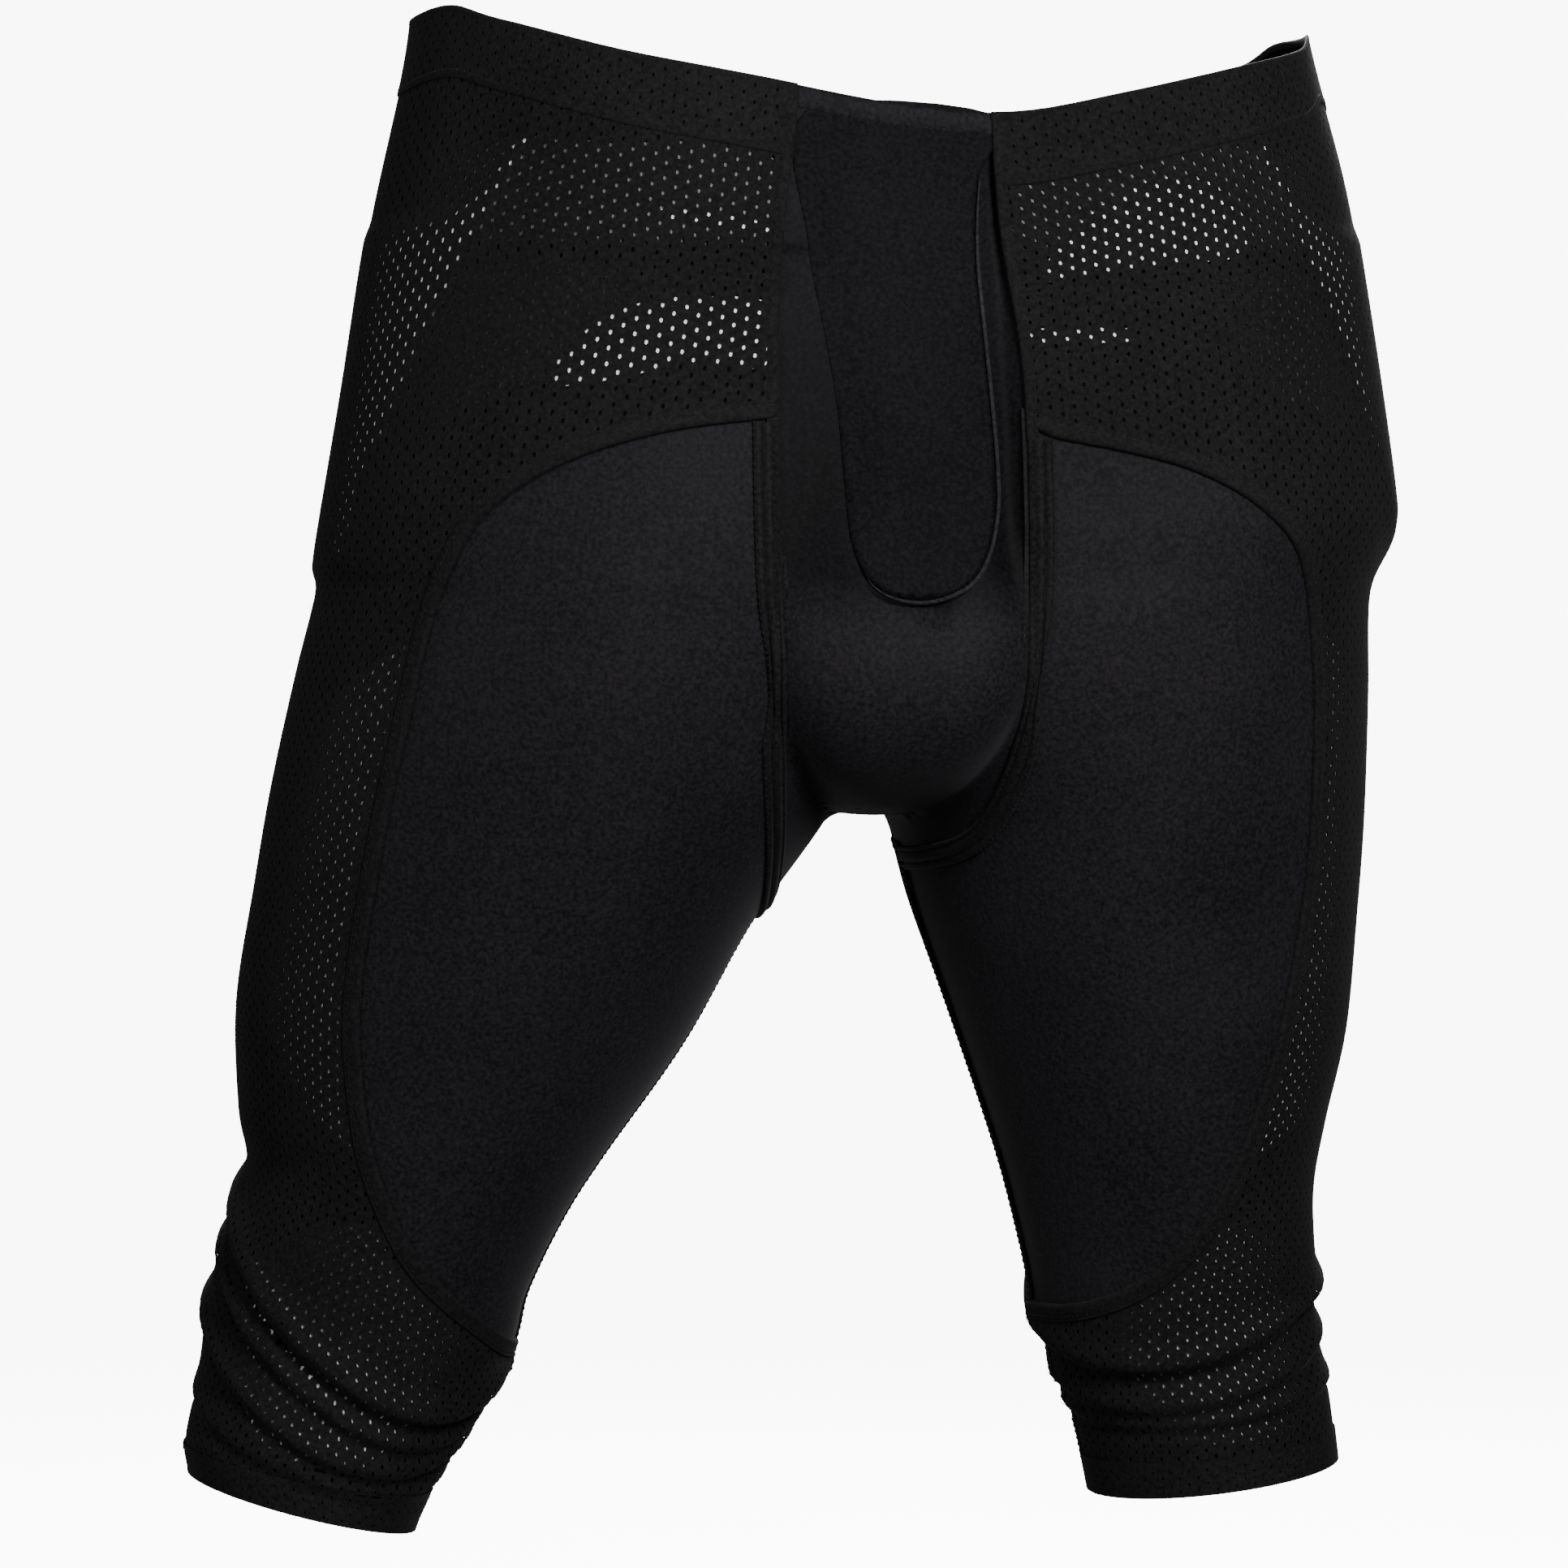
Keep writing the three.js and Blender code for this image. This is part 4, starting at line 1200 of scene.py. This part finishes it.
HEM_PROFILE = [
    (-0.4, -1.3), (-0.6, -0.4), (-0.4, 0.5), (0.2, 1.0), (1.0, 1.05), (3.6, 0.95), (4.3, 0.6), (4.7, 0.55),
    (5.2, 0.75), (5.7, 0.5), (5.9, 0.0), (5.6, -0.4),
]
WELT_PROFILE = [
    (-0.3, -1.5), (-0.5, -0.4), (-0.2, 0.35), (0.4, 0.6), (0.9, 0.3), (1.3, 0.0), (1.8, 0.4), (2.6, 1.1),
    (3.6, 1.25), (4.5, 0.9), (5.0, 0.1), (5.3, -0.1), (5.8, 0.3), (6.7, 0.6), (7.7, 0.35), (8.2, -0.4),
    (8.3, -1.4),
]
FOLD_EDGE_PROFILE = [
    (-0.5, -1.3), (-0.8, -0.5), (-0.6, 0.2), (0, 0.55), (0.9, 0.6), (2.2, 0.45), (3.1, 0.3), (3.5, 0.0),
    (3.3, -0.5),
]
FLAT_SEAM_PROFILE = [
    (-3, -0.5), (-3.1, 0.1), (-2.6, 0.5), (-0.6, 0.5), (0, 0.15), (0.6, 0.5), (2.6, 0.5), (3.1, 0.1),
    (3, -0.5),
]
NARROW_SEAM_PROFILE = [
    (-1.8, -1.4), (-1.9, -0.4), (-1.2, 0.25), (-0.3, 0.2), (0, 0), (0.3, 0.2), (1.2, 0.25), (1.9, -0.4),
    (1.8, -1.4),
]
WAIST_ROLL_PROFILE = [
    (-1.8, 0.35), (-0.9, 0.58), (0.1, 0.6), (0.7, 0.35), (0.85, -0.05), (0.6, -0.5), (0, -0.85), (-1.0, -0.9),
    (-1.8, -0.8),
]
PANEL_ROLL_PROFILE = [
    (-7, -1.5), (-6.9, -0.8), (-6.2, -0.45), (-3, -0.3), (-0.4, -0.35), (0.4, -0.7), (0.7, -1.3), (0.4, -1.9),
    (-0.5, -2.3), (-7, -2.2),
]
BAND_EDGE_PROFILE = [
    (-0.2, -0.1), (-0.4, 0.1), (-0.2, 0.4), (0.4, 0.55), (1.6, 0.58), (2.4, 0.5), (2.7, 0.4), (2.6, 0.0),
]
CUFF_ROLL_PROFILE = [
    (-2.2, 0.55), (-1, 0.75), (0, 0.75), (0.7, 0.4), (0.9, 0), (0.7, -0.4), (0, -0.75), (-1, -0.9),
    (-2.2, -0.85),
]
CUFF_EDGE_PROFILE = [
    (-0.9, -0.1), (-1, 0.3), (-0.5, 0.7), (0.4, 0.85), (1.5, 0.8), (2.2, 0.65), (2.4, 0.4), (2.3, 0.0),
]


def shares(out, down, y):
    """A place given by shares of the half width and length, with its depth in millimetres."""
    return (out * HALF_WIDTH, y, -down * LENGTH)


def chart_ring(chart, down, step=2.0):
    """A closed seam at one distance down a leg, with its sides pointing down."""
    across = np.arange(0, CHART_REACH - 2, 1.0)
    across = np.concatenate([-across[:0:-1], across])
    low = np.full(across.shape, down)
    points = chart.at(across, low)[0]
    start = chart.at(np.zeros(1), np.array([down]))[0][0]
    away = np.linalg.norm(points - start, axis=1)
    past = across > 60
    last = np.argmin(np.where(past, away, 1e9))
    own = (across >= 0) & (across < across[last] - step / 2)
    points = points[own]
    sides = unit(chart.at(across[own], low[own] + 1)[0] - chart.at(across[own], low[own] - 1)[0])
    keep = slice(None, None, int(step))
    return points[keep], sides[keep]


def panel_edge(points):
    return polygon_distance(points, PANEL_LOOP)


def waist_rise(points):
    return points[..., 2] - waist_height(points)


DOWNWARD, BACKWARD = (0, 0, -1), (0, 1, 0)
PANEL_START = {-1: shares(-0.187, 0.1, -100), 1: shares(0.158, 0.1, -100)}
HEM_START = {-1: shares(-0.232, 0.258, -105), 1: shares(0.222, 0.266, -105)}
WELT_START = {-1: shares(-0.23, 0.262, -105), 1: shares(0.216, 0.272, -105)}
thread_parts = []

for side, leg in LEGS.items():
    name = SIDE_NAMES[side]
    chart = CHARTS[side]

    def thigh_edge(points, side=side):
        return polygon_distance(points, THIGH_LOOP[side])

    line, sides = seam(thigh_edge, HEM_START[side], (side, 0, 0), lambda p: p[1] > INSEAM_SETBACK)
    hem = swept(line, sides, HEM_PROFILE)
    make_piece(f"hem_{name}_band", hem, FOLDED_CLOTH, [f"hem_{name}"])
    thread_parts.append(stitches(line, sides, 3.9, 0.75))

    line, sides = seam(panel_edge, WELT_START[side], DOWNWARD, lambda p: p[1] > INSEAM_SETBACK)
    welt = swept(line, sides, WELT_PROFILE)
    make_piece(f"welt_{name}_band", welt, BINDING, [f"welt_{name}"])
    thread_parts.append(stitches(line, sides, 1.3, 0.05))
    thread_parts.append(stitches(line, sides, 7.9, 0.1, 2.3, 1.2))

    gusset, gusset_sides = seam(panel_edge, line[-1], BACKWARD, lambda p: p[1] > GUSSET_END)
    parts = [swept(gusset, gusset_sides, NARROW_SEAM_PROFILE)]
    line, sides = seam(panel_edge, PANEL_START[side], DOWNWARD,
                       lambda p, low=HEM_START[side][2]: p[2] < low - 2)
    upper, upper_sides = seam(panel_edge, PANEL_START[side], (0, 0, 1),
                              lambda p: p[2] > waist_height(p) - 3.2)
    line = np.vstack([upper[:0:-1], line])
    sides = np.vstack([upper_sides[:0:-1], sides])
    parts.append(swept(line, sides, FOLD_EDGE_PROFILE))
    make_piece(f"panel_seam_{name}", joined(parts), FOLDED_CLOTH)
    thread_parts.append(stitches(line, sides, 2.6, 0.45))

    start = settle(np.array([gusset[0]]))[0]

    def inseam_edge(points):
        return points[..., 1] - INSEAM_SETBACK

    def at_cuff(point, leg=leg):
        return leg.at(leg.down, leg.coordinates(point[None])[0])[0] > leg.hem - CUFF_HEIGHT

    line, sides = seam(inseam_edge, start + (0, 0, -3), DOWNWARD, at_cuff)
    make_piece(f"inseam_{name}", swept(line, sides, FLAT_SEAM_PROFILE), BINDING)
    thread_parts += [stitches(line, sides, offset, 0.5) for offset in (2.0, -2.0)]

    bottom = swept(*chart_ring(chart, leg.hem - ROLL_DEPTH), CUFF_ROLL_PROFILE, closed=True)
    top = swept(*chart_ring(chart, leg.hem - CUFF_HEIGHT), CUFF_EDGE_PROFILE, closed=True)
    make_piece(f"cuff_edges_{name}", joined([bottom, top]), FOLDED_CLOTH)
    thread_parts.append(stitches(*chart_ring(chart, leg.hem - CUFF_HEIGHT), 1.9, 0.68))


# The waist's rolled edge, from one panel seam round the back to the other, and over the panel
round_back = seam(waist_rise, shares(-0.185, 0.036, -100), (-1, 0, 0), lambda p: p[1] < -60 and 0 < p[0] < 31)
over_panel = seam(waist_rise, shares(-0.185, 0.036, -100), (1, 0, 0), lambda p: p[0] > 31)
rolls = [swept(*round_back, WAIST_ROLL_PROFILE)]
make_piece("panel_top", swept(*over_panel, PANEL_ROLL_PROFILE), SMOOTH_CLOTH)
thread_parts.append(stitches(*over_panel, -6.4, -0.55))


def band_low_edge(points):
    return waist_rise(points) + BAND_HEIGHT


low_edge = seam(band_low_edge, shares(-0.2, 0.085, -100), (-1, 0, 0), lambda p: p[1] < -60 and 0 < p[0] < 34)
rolls.append(swept(*low_edge, BAND_EDGE_PROFILE))
make_piece("waistband_edges", joined(rolls), FOLDED_CLOTH)
thread_parts.append(stitches(*low_edge, 2.0, 0.46))


def middle_edge(points):
    return points[..., 0]


back_line, back_sides = seam(middle_edge, (0, 100, -30), DOWNWARD,
                             lambda p: p[1] < GUSSET_END and p[2] < -150)
back_parts = [swept(back_line, back_sides, FLAT_SEAM_PROFILE)]


def gusset_edge(points):
    return points[..., 1] - GUSSET_END


for way in (-1, 1):
    line, sides = seam(gusset_edge, back_line[-1], (way, 0, 0), lambda p: panel_edge(p[None])[0] > -1)
    back_parts.append(swept(line, sides, NARROW_SEAM_PROFILE))
make_piece("back_seam", joined(back_parts), BINDING)
thread_parts += [stitches(back_line, back_sides, offset, 0.5) for offset in (2.0, -2.0)]


# The fly tongue: rings drawn in from its outline, with a firm lip at the right and a soft slope at the left

TONGUE_INSETS = np.array([0, 0.15, 0.5, 1.0, 1.7, 2.6, 3.8, 5.5, 8, 11, 14, 17, 20])
TONGUE_HEIGHT = 3.2
TONGUE_REACH = 25.0  # rings draw together towards a spine this far in


def tongue():
    loop = np.vstack([FLY_LOOP, FLY_LOOP[:1]])
    arc = np.concatenate([[0], np.cumsum(np.linalg.norm(np.diff(loop, axis=0), axis=1))])
    places = np.linspace(0, arc[-1], 180, endpoint=False)
    loop = np.stack([np.interp(places, arc, loop[:, k]) for k in (0, 1)], -1)
    spine_z = np.clip(loop[:, 1], loop[:, 1].min() + 24, loop[:, 1].max() - 18)
    spine = np.stack([np.interp(-spine_z, (60, 100, 175), (-4, 2, 5)), spine_z], -1)
    share = 1 - TONGUE_INSETS[:, None, None] / TONGUE_REACH
    flat = spine + (loop - spine) * share
    ground, normal = PANEL_CHART.at(flat[..., 0], -flat[..., 1])
    inset = TONGUE_INSETS[:, None]
    firm = smooth_step(loop[:, 0], -30, -6)[None]
    lip = 0.5 * np.exp(-(((inset - 2.0) / 1.3) ** 2))
    firm_rise = TONGUE_HEIGHT * rounded(inset, 3.2) + lip - 0.02 * inset
    soft_rise = 0.35 * rounded(inset, 1.0) + 2.4 * smooth_step(inset, 0, 15)
    top = smooth_step(flat[..., 1], -62, -42)
    rise = (firm * firm_rise + (1 - firm) * soft_rise) * (1 - top)
    height = rise + 0.35 * top * rounded(inset, 1.0) - SMOOTH_DEPTH
    points = ground + normal * (relief(ground) + height)[..., None]
    count = len(loop)
    index = np.arange(points.shape[0] * count).reshape(-1, count)
    quads = ring_quads(index[:-1], index[1:])
    half = count // 2
    inner = np.roll(index[-1], -int(np.argmax(flat[-1, :, 1])))
    back = inner[::-1]
    cap = np.stack([inner[1:half], inner[2:half + 1], back[1:half], back[:half - 1]], -1)
    tip = np.array([[inner[0], inner[1], inner[-1]]])
    flat_points, flat_normal = points.reshape(-1, 3), normal.reshape(-1, 3)
    groups = turned_out(flat_points, flat_normal, [quads, cap, tip])
    under = ground[0] + normal[0] * (relief(ground[0]) + channel(ground[0]) - 1.7)[:, None]
    skirt_index = np.arange(count) + len(flat_points)
    all_points = np.vstack([flat_points, under])
    outward = np.vstack([flat_points - points.mean((0, 1))] * 2)
    skirt = turned_out(all_points, outward, [ring_quads(index[0], skirt_index)])
    return all_points, [*groups, *skirt, skirt_index[::-1][None]]


make_piece("fly_pad_cloth", tongue(), TONGUE_CLOTH, ["fly_pad"], sharp=60)


def piping(radius=0.7, rise=2.9):
    """The rolled lip on the tongue's right and lower edge, in a lighter cloth whose colour is a painted
    highlight.
    """
    loop = FLY_LOOP[(FLY_LOOP[:, 0] > -16) & (FLY_LOOP[:, 1] < -52)]
    start = int(np.argmax(np.linalg.norm(np.diff(loop, axis=0), axis=1))) + 1
    if np.linalg.norm(loop[0] - loop[-1]) < 12:
        loop = np.roll(loop, -start, axis=0)
    places = np.linspace(0, len(loop) - 1, 150)
    loop = np.stack([np.interp(places, np.arange(len(loop)), loop[:, k]) for k in (0, 1)], -1)
    ground, normal = PANEL_CHART.at(loop[:, 0], -loop[:, 1])
    spine = ground + normal * (relief(ground) - SMOOTH_DEPTH + rise)[:, None]
    along = unit(np.gradient(spine, axis=0))
    side = np.cross(normal, along)
    thin = radius * np.sqrt(np.clip(np.minimum(places, places[-1] - places) / 8, 0.02, 1))
    turn = np.arange(8) * math.pi / 4
    ring = np.cos(turn)[None, :, None] * side[:, None] + np.sin(turn)[None, :, None] * normal[:, None]
    points = spine[:, None] + ring * thin[:, None, None]
    index = np.arange(points.shape[0] * 8).reshape(-1, 8)
    quads = ring_quads(index[:-1], index[1:])
    groups = turned_out(points.reshape(-1, 3), ring.reshape(-1, 3), [quads])
    return points.reshape(-1, 3), [*groups, index[:1], index[-1:, ::-1]]


make_piece("fly_piping", piping(), LIP_HIGHLIGHT_CLOTH)


# Foam pads behind the cloth

for side, leg in LEGS.items():
    chart, name = CHARTS[side], SIDE_NAMES[side]
    face = -NET - PAD_GAP
    full = PAD_THICKNESS - 0.6
    hip_down = np.arange(0.02 * LENGTH, 0.4 * LENGTH, PAD_CELL)
    pad_down = np.arange(0.36 * LENGTH, 0.96 * LENGTH, PAD_CELL)
    web_outline = front_zone([outline(HIP_WEB, side)], 0)

    def web_zone(points, across, down, outline_zone=web_outline):
        return np.maximum(outline_zone(points, across, down), 1 - panel_zone(points))

    def web_height(points):
        return face - 0.4 - 4.5 * smooth_step(-points[..., 2], 0.14 * LENGTH, 0.165 * LENGTH)

    def under_panel(points, side=side):
        return face - 0.3 - 0.5 * slack(points) - 1.9 * smooth_step(-thigh_zone(points, side), -8, -3)

    plans = [
        ("hip_pad_foam", "hip_pad", hip_down, lobe_zone(side), face, PAD_THICKNESS,
         pad_edge(full, drop=0.3), PALE_FOAM),
        ("hip_pad_web", "hip_pad", hip_down, web_zone, web_height, 2.6, pad_edge(2.2, 3, 0.4), DARK_FOAM),
        ("thigh_pad_foam", "thigh_pad", pad_down, leg_pad_zone(leg, THIGH_PAD), under_panel, PAD_THICKNESS,
         pad_edge(full), GREY_FOAM),
        ("knee_pad_foam", "knee_pad", pad_down, leg_pad_zone(leg, KNEE_PAD), under_panel, PAD_THICKNESS,
         pad_edge(full), GREY_FOAM),
    ]
    for piece_name, node, rows, zone, height, thickness, edge, material in plans:
        shape = cloth(chart, spread(PAD_CELL), rows, zone, height, thickness, PAD_CELL, edge)
        pad = make_piece(f"{piece_name}_{name}", shape, material, [f"{node}_{name}"])

make_piece("stitching", joined(thread_parts), THREAD)


# Camera, light and stage

VIEW_AZIMUTH, VIEW_ELEVATION = math.radians(-8), math.radians(1)
VIEW_DISTANCE = 2.0
VIEW_TARGET = Vector((-0.0265, 0, -0.262))
FRAME_WIDTH = 0.56  # metres across the picture at the target
SENSOR = 36.0

camera_data = bpy.data.cameras.new("camera")
camera_data.sensor_width = SENSOR
camera_data.lens = SENSOR * VIEW_DISTANCE / FRAME_WIDTH
camera = bpy.data.objects.new("camera", camera_data)
offset = Vector((
    math.sin(VIEW_AZIMUTH) * math.cos(VIEW_ELEVATION),
    -math.cos(VIEW_AZIMUTH) * math.cos(VIEW_ELEVATION),
    math.sin(VIEW_ELEVATION),
))
camera.location = VIEW_TARGET + VIEW_DISTANCE * offset
camera.rotation_euler = (-offset).to_track_quat("-Z", "Y").to_euler()
bpy.context.scene.collection.objects.link(camera)
bpy.context.scene.camera = camera


def area_light(name, place, aim, size, power):
    data = bpy.data.lights.new(name, "AREA")
    data.shape = "RECTANGLE"
    data.size, data.size_y = size
    data.energy = power
    light = bpy.data.objects.new(name, data)
    light.location = place
    light.rotation_euler = (Vector(aim) - Vector(place)).to_track_quat("-Z", "Y").to_euler()
    bpy.context.scene.collection.objects.link(light)


area_light("key", (0.3, -1.1, 0.22), (0.05, 0, -0.22), (0.35, 0.45), 40)
area_light("side", (-1.2, -1.0, 0.3), (-0.1, 0, -0.2), (0.6, 1.0), 22)
area_light("back", (0.4, 1.5, 0.8), (0, 0, -0.2), (1.0, 0.8), 120)

world = bpy.data.worlds.new("world")
bpy.context.scene.world = world
world.use_nodes = True
world.node_tree.nodes["Background"].inputs["Color"].default_value = (0.93, 0.93, 0.93, 1)
world.node_tree.nodes["Background"].inputs["Strength"].default_value = 0.35


def stage():
    """A pale floor that curves up into a wall all round."""
    floor, reach, radius, top = -0.75, 4.5, 1.5, 6.0
    bends, around = 12, 96
    profile = [(1.0, floor)]
    for k in range(bends + 1):
        turn = k / bends * math.pi / 2
        profile.append((reach + radius * math.sin(turn), floor + radius * (1 - math.cos(turn))))
    profile.append((reach + radius, top))
    turns = [k / around * 2 * math.pi for k in range(around)]
    points = [(r * math.cos(turn), r * math.sin(turn), z) for r, z in profile for turn in turns]
    faces = [tuple(reversed(range(around)))]
    for i in range(len(profile) - 1):
        low, high = i * around, (i + 1) * around
        for k in range(around):
            after = (k + 1) % around
            faces.append((low + k, low + after, high + after, high + k))
    mesh = bpy.data.meshes.new("stage")
    mesh.from_pydata(points, [], faces)
    for face in mesh.polygons:
        face.use_smooth = True
    material, _, _, shader, _ = new_material("stage_paper")
    shader.inputs["Base Color"].default_value = (0.93, 0.93, 0.93, 1)
    shader.inputs["Roughness"].default_value = 0.9
    shader.inputs["Emission Color"].default_value = (1, 1, 1, 1)
    shader.inputs["Emission Strength"].default_value = 8.5
    mesh.materials.append(material)
    floor_object = bpy.data.objects.new("stage", mesh)
    floor_object.visible_diffuse = False
    floor_object.visible_glossy = False
    floor_object.visible_shadow = False
    bpy.context.scene.collection.objects.link(floor_object)


stage()
